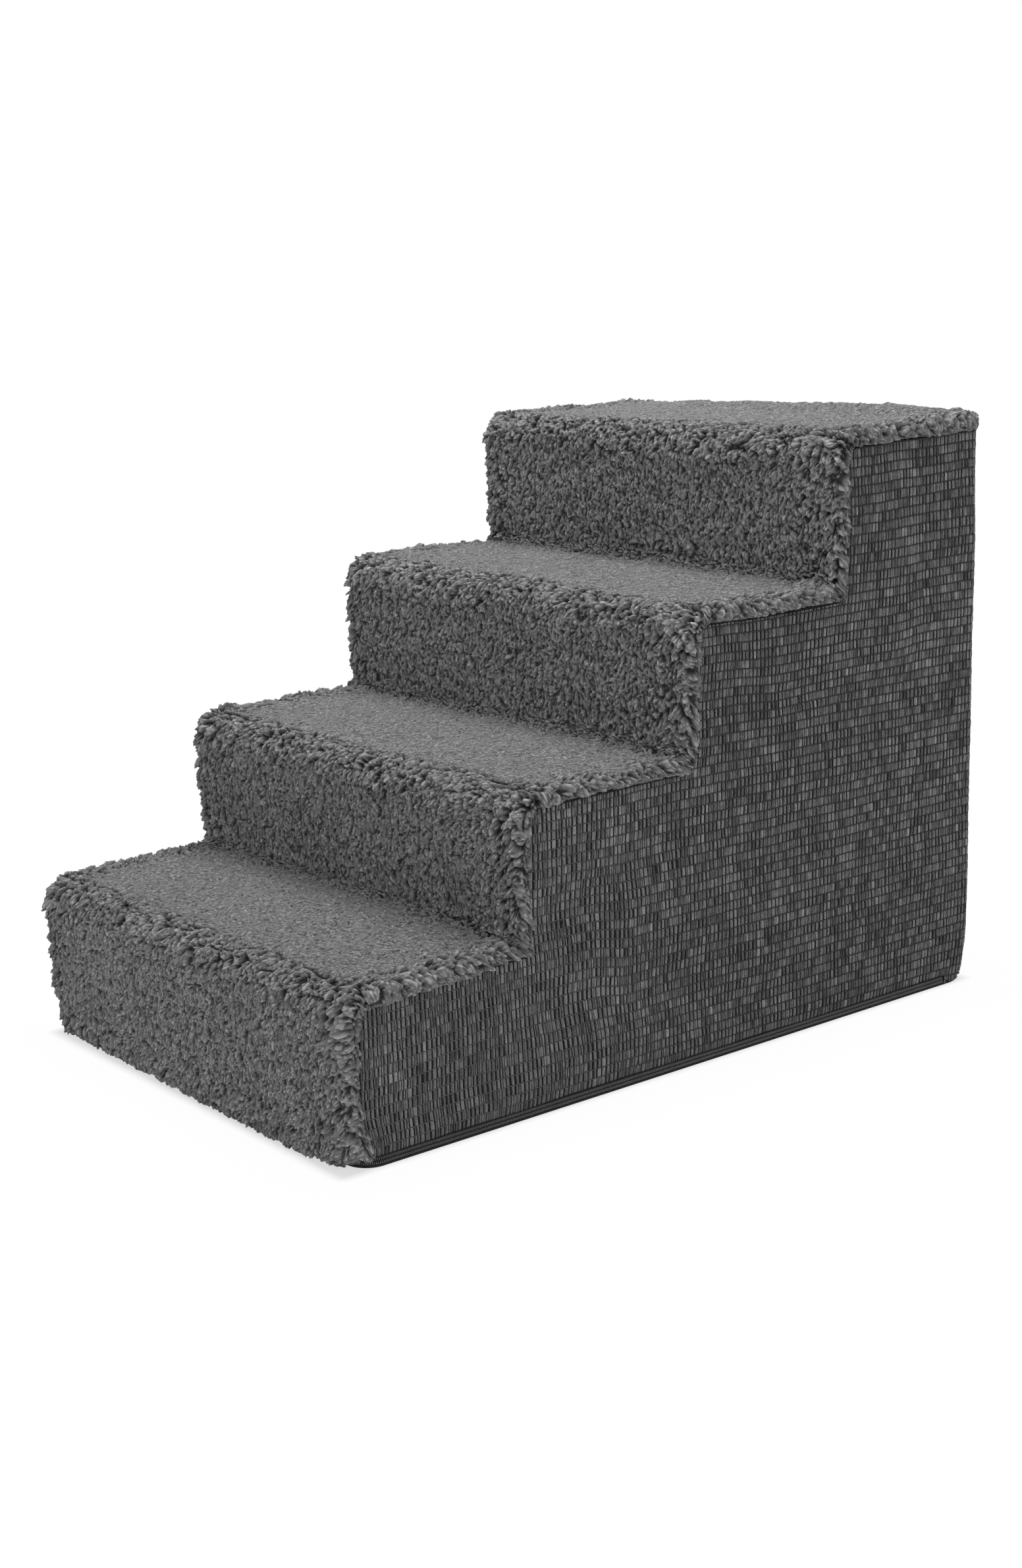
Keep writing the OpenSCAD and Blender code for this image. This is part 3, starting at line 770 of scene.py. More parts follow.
backing_rows = np.arange(0, row_n, 6)
backing_x = np.linspace(-cover_x + 0.5, cover_x - 0.5, 60)
backing_yz = line_foot[backing_rows] + 1.4 * line_rise[backing_rows]
backing = new_piece(
    "sherpa_backing", settled(gathered(backing_x, backing_yz[:, None, 0], backing_yz[:, None, 1])),
    grid_faces(len(backing_rows), len(backing_x)), knit_finish(),
    cloth=gathered(backing_x, row_s[backing_rows, None]), replaced=["sherpa_runner"],
)


# %% [markdown]
# ## The woven panels
# The charcoal cloth is a basket of soft upright bars, about 4 mm apart, held down every 7 mm by a
# thin dark thread. A bump map of that looks flat at the corner of the cover, where the photograph
# shows a scalloped outline. So each bar is a small puffed patch over a dark ground, and each
# binding thread is a tube. Every bar has its own tone, and clouds of dark and light run through.

# %% Woven finishes
def bar_finish():
    finish = Finish("woven_bars")
    place = finish.map("Cloth")
    streak = finish.noise(place, (1100, 110), 2.0, 0.55)
    speckle = finish.noise(place, (1500, 800), 2.0, 0.55)
    amount = finish.value("tone") + (streak - 0.5) * 1.3 + (speckle - 0.5) * 0.8
    color = finish.ramp(amount.clamped(), (0.0, 0.024), (0.4, 0.098), (0.75, 0.205), (1.0, 0.33))
    normal = finish.bump(streak * 0.7 + speckle * 0.3, 0.0007, 0.8)
    return finish.surface(color, 0.85, normal, sheen=0.15, specular=0.2)


def plain_cloth_finish(name, dark, light, pitch_x, pitch_y):
    """A close plain weave with its threads pitch apart, in millimetres."""
    finish = Finish(name)
    place = finish.map("Cloth")

    def threads(axis, pitch):
        inputs = {"Vector": place, "Scale": 1 / (pitch * MM) / 20, "Distortion": 0.6, "Detail Scale": 2.0}
        return finish.node("TexWave", inputs, output=1, bands_direction=axis)

    height = threads("X", pitch_x) * 0.5 + threads("Y", pitch_y) * 0.5
    fleck = finish.noise(place, 900.0)
    color = finish.ramp((height * 0.7 + fleck * 0.4 - 0.05).clamped(), (0, dark), (1, light))
    return finish.surface(color, 0.88, finish.bump(height, 0.0003), specular=0.25)


def thread_finish(name, dark, light, own_tone=False):
    """Spun thread: fine twisted lines along its length, paler where its own tone says so."""
    finish = Finish(name)
    twist = finish.noise(finish.map("Cloth"), (900, 300))
    amount = (twist * 0.4 + finish.value("tone")).clamped() if own_tone else twist
    color = finish.ramp(amount, (0, dark), (1, light))
    return finish.surface(color, 0.8, finish.bump(twist, 0.0002), specular=0.3)


woven_bars = bar_finish()
woven_ground = plain_cloth_finish("woven_ground", 0.008, 0.02, 0.8, 0.8)
binding = thread_finish("binding_thread", 0.018, 0.095, own_tone=True)
dark_thread = thread_finish("seam_thread", 0.015, 0.04)

# %% [markdown]
# A weave is laid on a panel by a place function, which takes the distance along the panel, the
# height on it and how far out a point stands. One function serves a side, which runs on round the
# rounded back corner, and another the back, which turns under the heel.

# %% Places on the panels
corner_r = 7.0
ground_in = 1.1
corner_turn = 1.00
back_gap = 0.05
turn_y = panel_back - corner_r
front_y = riser_y[0] - panel_lift
side_run = turn_y - front_y
half_back = panel_x - corner_r
# The hem's edge and the back's cloth go round the heel at these radii
hem_heel_r = heel_r + 2.2
back_heel_r = heel_r + 2.4
heel_arc = 1.05 * back_heel_r
foot_z = heel_z - heel_arc
top_z = layer_top[3] + panel_lift
# Behind the zip the hem drops to the base
hem_drop_y, hem_end_z = 284, 1.5
print("a side runs", round(side_run, 1), "mm to its corner, and its top is at", top_z)


def side_place(side):
    def place(u, v, out):
        angle = np.clip((u - side_run) / corner_r, 0, None)
        radius = corner_r - ground_in + out
        x = np.where(angle > 0, panel_x - corner_r + radius * np.cos(angle), panel_x - ground_in + out)
        y = np.where(angle > 0, turn_y + radius * np.sin(angle), front_y + u)
        return gathered(side * x, y, v)
    return place


def back_place(u, v, out):
    """Along the back u is the distance from its middle; v is the height, and goes on round the heel."""
    angle = np.clip((np.abs(u) - half_back) / corner_r, 0, None)
    radius = corner_r - ground_in + out
    x = np.sign(u) * np.where(angle > 0, half_back + radius * np.sin(angle), np.abs(u))
    inset = radius - radius * np.cos(angle)
    depth = panel_back - ground_in + out - inset - heel_y
    under = np.clip((heel_z - v) / back_heel_r, 0, None)
    return gathered(x, heel_y + depth * np.cos(under), np.where(under > 0, heel_z - depth * np.sin(under), v))


def arc(across, radius):
    """Height of a quarter circle above its centre, at a distance across from it."""
    return np.sqrt(np.maximum(radius ** 2 - np.clip(across, 0, radius) ** 2, 0))


def panel_top(y):
    """Height of the side panels' stepped edge, with its round noses and creases."""
    nose, crease = nose_r + panel_lift, 7.0
    top = np.full(np.shape(y), -1e3)
    for front, layer in zip(riser_y, layer_top):
        into = y - (front - panel_lift)
        top = np.where(into >= 0, layer - nose_r + arc(nose - into, nose), top)
    for front, layer in zip(riser_y[1:], layer_top):
        near = y - (front - panel_lift - crease)
        fillet = layer + panel_lift + crease - arc(near, crease)
        top = np.where((near > 0) & (near <= crease), np.maximum(top, fillet), top)
    return top


def panel_foot(y, side):
    """Height of a side panel's hem, which drops to the base behind the zip and rounds the heel."""
    drop = smooth_step((y - hem_drop_y) / 9)
    hem = (hem_z if side > 0 else slider_clear_z) * (1 - drop) + hem_end_z * drop
    return np.where(y > heel_y, np.maximum(heel_z - arc(y - heel_y, hem_heel_r), hem), hem)


def side_limits(side):
    def limits(u):
        y = front_y + np.minimum(u, side_run) + corner_r * np.sin(np.clip((u - side_run) / corner_r, 0, 1.5))
        return panel_foot(y, side), panel_top(y)
    return limits


def back_limits(u):
    return np.full(np.shape(u), foot_z), np.full(np.shape(u), top_z)


# %% [markdown]
# Bars lie in columns whose width drifts a little, and in rows that waver, because no weave is a
# grid. Each bar is cut to the panel's edges, narrowed at random, and puffed in the middle.

# %% Pitch and shape of the bars
bar_pitch = 4.0
row_pitch = 7.0
bar_height = 1.05
parted_share = 0.27
shortest_bar = 1.6
tuck_depth, tuck_z = 1.6, 14
# A bar is a patch of 5 by 4 points: places across and along it, and how far each stands out there
across_bar = np.array([-1, -0.7, 0.7, 1])
across_out = np.array([0.1, 0.95, 0.95, 0.1])
along_bar = np.array([-1, -0.84, 0, 0.84, 1])[:, None]
along_out = np.array([0.4, 0.9, 1, 0.9, 0.4])[:, None]
along_wide = np.array([0.9, 1.0, 1.0, 1.0, 0.9])[:, None]
bar_points = 20
print("bars", bar_pitch, "mm apart in rows of", row_pitch, "mm")

# %% [markdown]
# One function weaves any panel. It draws the columns and rows, cuts them to the panel's limits,
# and puffs each bar; the threads and the ground then follow the same noise as the bars.

# %% Weaving

def tube_map(places, sides, across=1.0):
    """The flat map of a tube, from the places of its rings along it."""
    return gathered(places[:, None], np.arange(sides) * across)


def tube(line, side, up, radius, sides):
    """Rings of points round a line; side and up are unit vectors across it, one for each point."""
    turn = (np.arange(sides) * 2 * math.pi / sides)[:, None]
    ring = side[:, None] * np.cos(turn) + up[:, None] * np.sin(turn)
    return (line[:, None] + radius * ring).reshape(-1, 3), grid_faces(len(line), sides, closed=True)


def beside(line, outward):
    """Unit vectors square to a line and to its outward directions."""
    return unit(np.cross(np.gradient(line, axis=0), outward))


def tucked(u, v, zip_to):
    """How far the cloth turns in above the zip, which runs up to zip_to along the panel."""
    return tuck_depth * np.clip(1 - (v - hem_z) / tuck_z, 0, 1.2) ** 2 * smooth_step((zip_to - u) / 9)


def weave(name, place, limits, u_low, u_high, v_low, zip_to, seed):
    """Makes a panel's bars, binding threads and ground, and returns the three and the ground's map."""
    rng = np.random.default_rng(seed)
    steps = rng.normal(1, 0.06, int((u_high - u_low) / bar_pitch) + 8)
    edges = u_low + np.cumsum(steps / steps.mean()) * bar_pitch
    edges = np.concatenate([[u_low], edges[edges < u_high], [u_high]])
    rows = np.arange(v_low, top_z + row_pitch, row_pitch)
    field_shape = (int(top_z - v_low) + 20, int(u_high - u_low) + 20)

    def field(*noises):
        """Noises added up over the panel, each with its pitch up, its pitch along and its size."""
        return sum(soft_noise(field_shape, (up, along), rng) * size for up, along, size in noises)

    def read(values, u, v):
        j = np.clip((v - v_low).astype(int), 0, field_shape[0] - 1)
        i = np.clip((u - u_low).astype(int), 0, field_shape[1] - 1)
        return values[j, i]

    def tautness(u):
        """The cloth is pulled tight towards the back, which opens the gaps between its bars."""
        return smooth_step((u - u_low - 60) / 340)

    lilt = field((60, 46, 0.6), (30, 14, 0.2))
    sway = field((34, 60, 1.3), (9, 30, 0.25))
    swell = field((70, 90, 0.5))
    cloud = field((26, 10, 1), (9, 5, 0.7))

    u_mid, u_half = (edges[1:] + edges[:-1]) / 2, (edges[1:] - edges[:-1]) / 2
    foot, top = limits(u_mid)
    row, column = np.divmod(np.arange((len(rows) - 1) * len(u_mid)), len(u_mid))
    low = np.maximum(rows[row], foot[column] + 0.3)
    high = np.minimum(rows[row + 1], top[column])
    bar = np.stack([u_mid[column], u_half[column], low, high, top[column]])[:, high - low > shortest_bar]
    # Some bars have parted into two thin ones
    parted = rng.uniform(0, 1, bar.shape[1]) < parted_share
    share = rng.uniform(0.32, 0.62, parted.sum())
    whole, left, right = bar[1, parted], bar[:, parted], bar[:, parted]
    left[0], left[1] = left[0] - whole * (1 - share), whole * share
    right[0], right[1] = right[0] + whole * share, whole * (1 - share)
    u0, half_w, low, high, bar_top = np.concatenate([bar[:, ~parted], left, right], 1)[:, :, None, None]
    count = len(u0)
    taut = tautness(u0)
    slim = rng.uniform(0.42, 0.77, count)[:, None, None] - 0.02 * taut
    puff = rng.uniform(0.75, 1.15, count)[:, None, None]
    mid_v, half_v = (low + high) / 2, (high - low) / 2 - 0.14 - 0.28 * taut
    flat_u = u0 + half_w * slim * across_bar * along_wide
    flat_v = mid_v + half_v * along_bar
    u = np.clip(flat_u + read(sway, flat_u, flat_v), u_low, u_high)
    v = np.minimum(flat_v + read(lilt, u0, flat_v), bar_top)
    out = bar_height * puff * across_out * along_out + read(swell, flat_u, flat_v) - tucked(flat_u, v, zip_to)
    faces = (grid_faces(5, 4) + (np.arange(count) * bar_points)[:, None, None]).reshape(-1, 4)
    bars = new_piece(name + "_bars", settled(place(u, v, out)), faces, woven_bars,
                     cloth=gathered(flat_u, flat_v))
    tone = 0.54 + 0.12 * read(cloud, u0, mid_v) + rng.normal(0, 1, count)[:, None, None] * (0.1 + 0.04 * taut)
    add_value(bars.data, "tone", np.repeat(np.clip(tone, 0.02, 1), bar_points))

    threads, faces, slack, start = [], [], [], 0
    run = np.arange(u_low, u_high - 0.9, 2.0)
    run_foot, run_top = limits(run)
    for v_row in rows:
        across = run[(v_row > run_foot + 0.5) & (v_row < run_top - 0.3)]
        if len(across) < 4:
            continue
        height = v_row + read(lilt, across, v_row) + 0.12 * np.sin(across * 1.57)
        rise = 0.5 + 0.12 * np.sin(across * 0.785) + read(swell, across, v_row)
        rise -= tucked(across, height, zip_to)
        line = settled(place(across, height, rise))
        outward = settled(place(across, height, rise + 1)) - line
        thread, thread_faces = tube(line, outward, beside(line, outward), 0.5, 4)
        threads.append(thread)
        faces.append(thread_faces + start)
        slack.append(np.repeat(0.7 - 0.62 * tautness(across), 4))
        start += len(thread)
    points = np.concatenate(threads)
    bindings = new_piece(name + "_binding", points, np.concatenate(faces), binding,
                         cloth=gathered(points[:, 0] + points[:, 1], points[:, 2]))
    add_value(bindings.data, "tone", np.concatenate(slack))

    run = np.linspace(u_low, u_high, int((u_high - u_low) / 6) + 2)
    rise = np.linspace(0, 1, int((top_z - v_low) / 8))[:, None]
    run_foot, run_top = limits(run)
    u, v = np.broadcast_arrays(run, run_foot + rise * (run_top - run_foot))
    points = settled(place(u, v, -0.25 + read(swell, u, v) - tucked(u, v, zip_to)))
    ground = new_piece(name + "_ground", points, grid_faces(len(rise), len(run)), woven_ground,
                       cloth=gathered(u, v), replaced=[name])
    print(name, count, "bars and", len(threads), "binding threads")
    return ground, bars, bindings, (u, v)


# %% Side and back panels
def flat_area(u, v):
    """Area of a patch of cloth laid flat, in square metres."""
    du = np.diff(u, axis=1)[:-1]
    dv = np.diff(v, axis=0)
    return float((du * (dv[:, 1:] + dv[:, :-1]) / 2).sum()) * MM * MM


side_end = side_run + corner_r * corner_turn
# Where a side's lowest row of bars starts, and where the zip ends along it
side_low, side_zip_y = 0.5, 290
for side, hand in ((-1, "left"), (1, "right")):
    ground, bars, bindings, flat = weave(
        f"side_panel_{hand}", side_place(side), side_limits(side), 0.0, side_end, side_low,
        zip_to=side_zip_y - front_y, seed=21 + side,
    )
    side_end * MM
    (layer_top[3] + 1) * MM
    print("side panel cut area", round(flat_area(*flat), 3), "square metres")

back_end = half_back + corner_r * (math.pi / 2 - corner_turn - back_gap)
ground, bars, bindings, flat = weave(
    "back_panel", back_place, back_limits, -back_end, back_end, foot_z, zip_to=-back_end - 9, seed=31,
)
2 * back_end * MM
(layer_top[3] + 1 - heel_z + heel_arc) * MM


# %% [markdown]
# ## Seams
# Each seam is a lock stitch: one thread that dips in and out every few millimetres. A tube whose
# height follows a wave shows just that.

# %% Stitched seams
stitch = 3.4
seam_in = 0.9


def stitched(name, line, outward):
    """A thread that dips in and out along a line of points, in place of the CAD thread of that name."""
    length = run_length(line)
    even = np.arange(0, length[-1], stitch / 6)
    line = read_along(even, length, line)
    outward = unit(read_along(even, length, outward))
    line = line + outward * (0.28 * np.sin(even * 2 * math.pi / stitch))[:, None]
    points, faces = tube(settled(line), outward, beside(line, outward), 0.26, 5)
    new_piece(name, points, faces, dark_thread, cloth=tube_map(even, 5), replaced=[name])
    print(name, round(length[-1]), "mm long")


seam_rows = (row_part != "lip") & (row_part != "tail")
seam_y, seam_z = (line_foot[seam_rows] + 1.5 * line_rise[seam_rows]).T
seam_angle = corner_turn + 0.5 * back_gap
seam_depth = turn_y + (corner_r - seam_in) * math.sin(seam_angle) - heel_y
for side, hand in ((-1, "left"), (1, "right")):
    stitched(f"seam_thread_{hand}", gathered(side * (cover_x + panel_x) / 2, seam_y, seam_z),
             gathered(0, *line_rise[seam_rows].T))
    low, high = corners(f"seam_thread_back_{hand}")
    z = np.linspace(low[2], high[2] - 0.5, 60)
    x = side * (panel_x - corner_r + (corner_r - seam_in) * math.cos(seam_angle))
    stitched(f"seam_thread_back_{hand}", gathered(x, heel_y + arc(heel_z - z, seam_depth), z),
             np.tile([side * math.cos(seam_angle), math.sin(seam_angle), 0.0], (60, 1)))
for name, outward in (("seam_thread_top", [0, 1.0, 0]), ("seam_thread_base", [0, 0, 1.0])):
    low, high = corners(name)
    middle = (low + high) / 2
    x = np.linspace(low[0] + 0.5, high[0] - 0.5, 80)
    stitched(name, gathered(x, middle[1], middle[2]), np.tile(outward, (80, 1)))


# %% [markdown]
# ## The zip
# A coil zip is a bristle of nylon wound into two flat springs whose turns lock together, sewn on
# two woven tapes. The springs are modelled turn by turn. They run along both sides and round the
# front at floor level, where the photograph shows them turning under the pile.

# %% Zip path
zip_low, zip_high = corners("zip_coil_lower"), corners("zip_coil_upper")
zip_mid = (zip_low[1][2] + zip_high[0][2]) / 2
zip_corner = 16.0
cover_front = corners("base_panel")[0][1]
coil_t = zip_high[1][0] - cover_x


def zip_path(end_left, end_right, step):
    """Points of the zip's line in plan and their outward directions, from the left end to the right."""
    turn = np.radians(np.linspace(0, 90, int(25 / step) + 2))
    corner_y = cover_front + zip_corner
    left_y = np.arange(end_left, corner_y, -step)
    right_y = np.arange(corner_y, end_right, step)
    front_x = np.arange(-cover_x + zip_corner, cover_x - zip_corner, step)
    left_turn = gathered(-cover_x + zip_corner, corner_y) - zip_corner * gathered(np.cos(turn), np.sin(turn))
    right_turn = left_turn[::-1] * [-1, 1]
    line = np.concatenate([gathered(-cover_x, left_y), left_turn[1:], gathered(front_x, cover_front)[1:],
                           right_turn[1:], gathered(cover_x, right_y)[1:]])
    ahead = np.gradient(line, axis=0)
    return line, unit(np.column_stack([ahead[:, 1], -ahead[:, 0]]))


def along_zip(path, places, out, z):
    """Points on the zip at places along its line, how far out and at which height."""
    line, outward = path
    x, y, out_x, out_y = read_along(places, run_length(line), np.column_stack([line, outward])).T
    return gathered(x + out_x * out, y + out_y * out, z)


path = zip_path(zip_low[1][1], corners("zip_bottom_stop")[0][1], 1.0)
zip_length = run_length(path[0])[-1]
print("zip", round(zip_length), "mm long, centred at height", round(zip_mid, 2))

# %% [markdown]
# Each coil is one wire on a flattened helix along the path. The two stand half a turn apart, so
# their turns lock into each other as on a closed zip.

# %% Zip coils
def coil_finish():
    finish = Finish("zip_coil")
    color = finish.ramp(finish.noise(finish.map("Cloth"), 60.0), (0, 0.1), (1, 0.19))
    return finish.surface(color, 0.35)


coil_pitch = 1.3
coil_gap = 0.1
turn_points = 10
half_w, half_t, wire = 1.22, coil_t / 2, 0.33
turns = int(zip_length / coil_pitch)
theta = np.arange(turns * turn_points) * 2 * math.pi / turn_points
flat = np.sign(np.cos(theta)) * np.abs(np.cos(theta)) ** 0.8
nylon = coil_finish()
for name, side in (("zip_coil_upper", 1), ("zip_coil_lower", -1)):
    places = theta / (2 * math.pi) * coil_pitch + (0.5 * coil_pitch if side < 0 else 0)
    z = zip_mid + side * (coil_gap / 2 + half_w + 0.03 + (half_w - wire) * flat)
    wound = along_zip(path, places, half_t + (half_t - wire) * np.sin(theta), z)
    spoke = unit(wound - along_zip(path, places, half_t, zip_mid + side * (coil_gap / 2 + half_w)))
    points, faces = tube(wound, spoke, beside(wound, spoke), wire, 4)
    new_piece(name, points, faces, nylon, cloth=tube_map(places, 4), replaced=[name])
    print(name, turns, "turns")

# %% [markdown]
# The tapes are woven ribbons, drawn as a section that is carried along the same path. The upper
# one stands behind the panels' hem, and the lower one bulges a little and turns in below.

# %% Zip tapes
tape = plain_cloth_finish("zip_tape", 0.01, 0.026, 0.9, 0.7)
tape_step = 2.0
# Each tape's section, as how far out and how high, and where its two ends lie
tapes = {
    "zip_tape_upper": (
        [(-0.1, 4.97), (0, 5.2), (0, 13.7), (-0.1, 14.0), (-0.7, 14.0), (-0.7, 4.97)],
        corners("zip_tape_upper")[1][1]),
    "zip_tape_lower": (
        [(-0.1, 4.9), (0, 3.6), (0.9, 2.6), (1.9, 1.6), (1.7, 0.7), (0.8, 0.3), (-0.7, 0.4), (-0.7, 4.9)],
        303.0),
}
for name, (section, tape_end) in tapes.items():
    tape_path = zip_path(tape_end, tape_end, tape_step)
    places = np.arange(0, run_length(tape_path[0])[-1], tape_step)
    rim = np.stack([along_zip(tape_path, places, out, z) for out, z in section], 1)
    # The tapes' ends climb round the heel, where they are caught in the seam
    y = rim[:, :, 1]
    rim[:, :, 2] += np.where(y > heel_y, hem_heel_r - arc(y - heel_y, hem_heel_r), 0)
    new_piece(name, rim, grid_faces(len(places), len(section), closed=True), tape,
              cloth=tube_map(places, len(section), 2.0), replaced=[name])
    print(name, round(places[-1]), "mm long")


# %% [markdown]
# The slider, its tab and the stops are small castings and pressings. Their CAD shape is right, so
# they stay and only get a lacquered metal with a worn, uneven sheen.

# %% Zip metal
def metal_finish():
    finish = Finish("zip_metal")
    worn = finish.noise(finish.object_place(), 420.0, 3.0, 0.6)
    color = finish.ramp(worn, (0, 0.035), (1, 0.11))
    return finish.surface(color, worn * 0.25 + 0.25, finish.bump(worn, 0.00005), metallic=0.85)


lacquer = metal_finish()
for name in ("zip_slider", "zip_pull_tab", "zip_top_stops", "zip_bottom_stop"):
    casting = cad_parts[name].data
    casting.materials.clear()
    casting.materials.append(lacquer)
    print(name, len(casting.polygons), "faces kept")


# %% [markdown]
# ## Inside the cover
# The core is four glued slabs of open-cell foam, which a stranger who takes the cover off should
# find. Each slab is built of even rings, and its cut faces get a little relief.

# %% Foam core
def foam_finish():
    finish = Finish("foam")
    place = finish.object_place()
    cells = finish.node("TexVoronoi", {"Vector": place, "Scale": 700.0}, feature="F1")
    color = finish.ramp(finish.noise(place, 9.0, 3.0), (0, (0.72, 0.64, 0.48)), (1, (0.86, 0.82, 0.70)))
    return finish.surface(color, 0.9, finish.bump(cells, 0.0004), specular=0.2)


foam = foam_finish()
slab_edge_r = 1.5
slab_fillet = 2.5
ring_step = 5
beside_zip_z = 15


def slab_outline(i):
    """Side view of a slab, shrunk a little, with its nose rounded and the lowest slab's heel too."""
    front, top = riser_y[i] + 0.5, layer_top[i] - 0.3
    bottom = layer_top[i - 1] + 0.3 if i else 1.3
    back = foam_back - 1.5
    heel = slab_edge_r if i else heel_r
    edge = slab_edge_r
    turns = [
        (front + nose_r, top - nose_r, nose_r, 180, 90), (back - edge, top - edge, edge, 90, 0),
        (back - heel, bottom + heel, heel, 0, -90), (front + edge, bottom + edge, edge, 270, 180),
    ]
    points = []
    for y, z, radius, start, end in turns:
        angle = np.radians(np.linspace(start, end, max(3, int(radius / 1.5))))
        points.extend(zip(y + radius * np.cos(angle), z + radius * np.sin(angle)))
    points = np.array(points + points[:1])
    length = run_length(points)
    return read_along(np.linspace(0, length[-1], int(length[-1] / ring_step))[:-1], length, points)


for i in (0, 1, 2, 3):
    outline = slab_outline(i)
    centre = (outline.max(0) + outline.min(0)) / 2
    half_size = (outline.max(0) - outline.min(0)) / 2
    end_x = layers[i][1][0] - 0.6
    turn = np.linspace(0, math.pi / 2, 5)[1:]
    straight = np.linspace(0, end_x - slab_fillet, 40)
    ring_x = np.concatenate([straight, end_x - slab_fillet + slab_fillet * np.sin(turn), np.full(12, end_x)])
    inset = slab_fillet * (1 - np.cos(turn))
    inset = np.concatenate([0 * straight, inset, np.linspace(4, half_size.min(), 12)])
    ring_x = np.concatenate([-ring_x[::-1], ring_x[1:]])
    inset = np.concatenate([inset[::-1], inset[1:]])
    shrink = 1 - inset[:, None, None] / half_size
    shrink[inset > slab_fillet] = (1 - inset[inset > slab_fillet] / half_size.min())[:, None, None]
    rings = centre + (outline - centre)[None] * np.maximum(shrink, 0.002)
    rings += 0.12 * np.random.default_rng(50 + i).normal(size=rings.shape) * (shrink > 0.1)
    x, y, z = np.moveaxis(settled(gathered(ring_x[:, None], *np.moveaxis(rings, 2, 0)), plan=i == 0), 2, 0)
    x = np.where(z < beside_zip_z, np.clip(x, -slider_in_x, slider_in_x), x)
    faces = grid_faces(len(ring_x), len(outline), closed=True)[:, ::-1]
    slab = new_piece(f"foam_slab_{i + 1}", gathered(x, y, z), faces, foam, replaced=[foam_names[i]])
    print(slab.name, len(slab.data.polygons), "faces")

# %% [markdown]
# The base is a plain dark cloth under the foam. Nobody sees it on the floor, so it is a flat grid
# with rounded front corners and the slightest waves.

# %% Base panel
base_cloth = plain_cloth_finish("base_cloth", 0.01, 0.03, 0.9, 0.9)
base_low, base_high = corners("base_panel")
base_rows, base_columns = 150, 100
y = np.linspace(base_low[1] + 0.3, base_high[1] - 0.2, base_rows)[:, None]
inset = zip_corner - arc(base_low[1] + zip_corner - y, zip_corner)
x = np.linspace(-1, 1, base_columns) * (base_high[0] - 0.3 - inset)
z = 0.45 + 0.3 * soft_noise((base_rows, base_columns), (14, 17), seeded)
base = new_piece("base_panel_cloth", gathered(x, y, z), grid_faces(base_rows, base_columns),
                 base_cloth, cloth=gathered(x, y), replaced=["base_panel"])


# %% [markdown]
# ## Studio
# The photograph is taken in a bright white room. A large soft lamp overhead lights the treads, and
# two weak ones fill the side and the risers. The floor is matt for the light and mostly plain
# white for the camera, so it keeps only a faint shadow beside the stairs.

# %% Floor, world and lamps
floor_half = 12.0
footprint = (0.196, 0.31, 0)


def floor_finish():
    finish = Finish("floor")
    matt = finish.node("BsdfDiffuse", {"Color": (0.85, 0.85, 0.85, 1)})
    white = finish.node("Emission", {"Color": (1, 1, 1, 1), "Strength": 1.0})
    place = finish.vector("ABSOLUTE", finish.object_place())
    beyond = finish.vector("MAXIMUM", finish.vector("SUBTRACT", place, footprint), (0, 0, 0))
    away = finish.vector("LENGTH", beyond, output=1)
    whiter = (away * 110).clamped() * 0.33 + (away * 10).clamped() * 0.03 + 0.64
    mixed = finish.node("MixShader", {0: finish.seen() * whiter, 1: matt, 2: white})
    finish.node("OutputMaterial", {"Surface": mixed})
    return finish.material


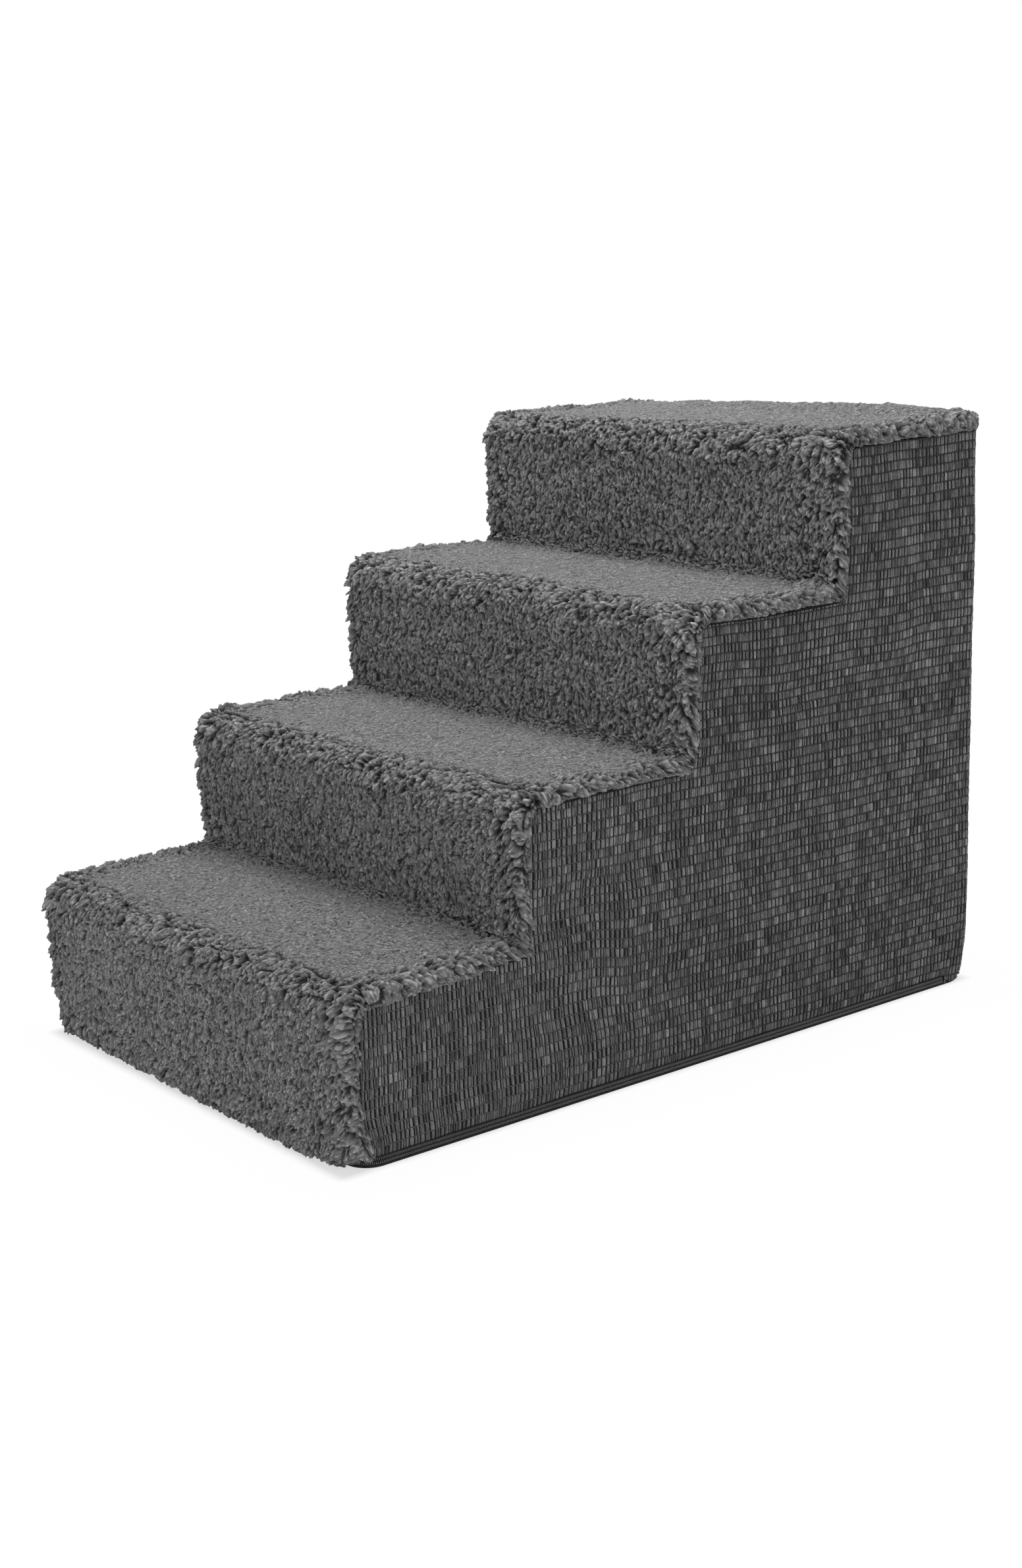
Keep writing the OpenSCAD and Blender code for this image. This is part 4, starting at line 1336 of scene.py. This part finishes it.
floor_mesh = bpy.data.meshes.new("floor")
floor_corners = [(x * floor_half, y * floor_half, 0) for x, y in ((-1, -1), (1, -1), (1, 1), (-1, 1))]
floor_mesh.from_pydata(floor_corners, [], [(0, 1, 2, 3)])
floor = bpy.data.objects.new("floor", floor_mesh)
bpy.context.scene.collection.objects.link(floor)
floor_mesh.materials.append(floor_finish())
floor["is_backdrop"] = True

ambient = 0.38
world = bpy.data.worlds.new("studio")
bpy.context.scene.world = world
room = Finish("studio", world)
strength = room.seen() * (1 - ambient) + ambient
room.node("OutputWorld", {"Surface": room.node("Background", {"Color": (1, 1, 1, 1), "Strength": strength})})


def soft_lamp(name, place, aim, width, height, power):
    lamp = bpy.data.lights.new(name, "AREA")
    lamp.shape, lamp.size, lamp.size_y, lamp.energy = "RECTANGLE", width, height, power
    holder = bpy.data.objects.new(name, lamp)
    holder.location = place
    holder.rotation_euler = (Vector(aim) - Vector(place)).to_track_quat("-Z", "Y").to_euler()
    bpy.context.scene.collection.objects.link(holder)


soft_lamp("overhead", (-0.15, 0.12, 1.9), (0, 0, 0.2), 1.3, 1.3, 33)
soft_lamp("side_fill", (2.2, -0.6, 0.9), (0, 0, 0.2), 1.2, 1.2, 8)
soft_lamp("front_fill", (-0.4, -2.3, 0.3), (0, 0, 0.1), 1.8, 0.5, 8.5)
print("lamps", [lamp.name for lamp in bpy.data.lights])

# %% [markdown]
# ## Camera
# The view was found by fitting a camera to the corners of the steps in the photograph. It looks
# from the right of the front, a little above, and is tipped by just over a degree.

# %% Camera
azimuth, elevation, roll = (math.radians(angle) for angle in (51.277, 13.047, -1.354))
place = Vector((1.35385, -1.08898, 0.58477))
focal_pixels, frame_height, sensor = 3434.4, 2380, 36.0
back = Vector((math.sin(azimuth) * math.cos(elevation), -math.cos(azimuth) * math.cos(elevation),
               math.sin(elevation)))
level = (-back).cross(Vector((0, 0, 1))).normalized()
upright = level.cross(-back)
right = level * math.cos(roll) + upright * math.sin(roll)
up = upright * math.cos(roll) - level * math.sin(roll)
camera_data = bpy.data.cameras.new("camera")
camera_data.sensor_width = sensor
camera_data.lens = sensor * focal_pixels / frame_height
camera = bpy.data.objects.new("camera", camera_data)
camera.matrix_world = Matrix.Translation(place) @ Matrix((right, up, back)).transposed().to_4x4()
bpy.context.scene.collection.objects.link(camera)
bpy.context.scene.camera = camera
bpy.context.scene.view_settings.view_transform = "Standard"
print("camera at", [round(v, 3) for v in place], "lens", round(camera_data.lens, 1), "mm")

# %% Sizes for the record
bpy.context.view_layer.update()
low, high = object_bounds()
print("visual box", [round(v / MM, 1) for v in (*low, *high)])
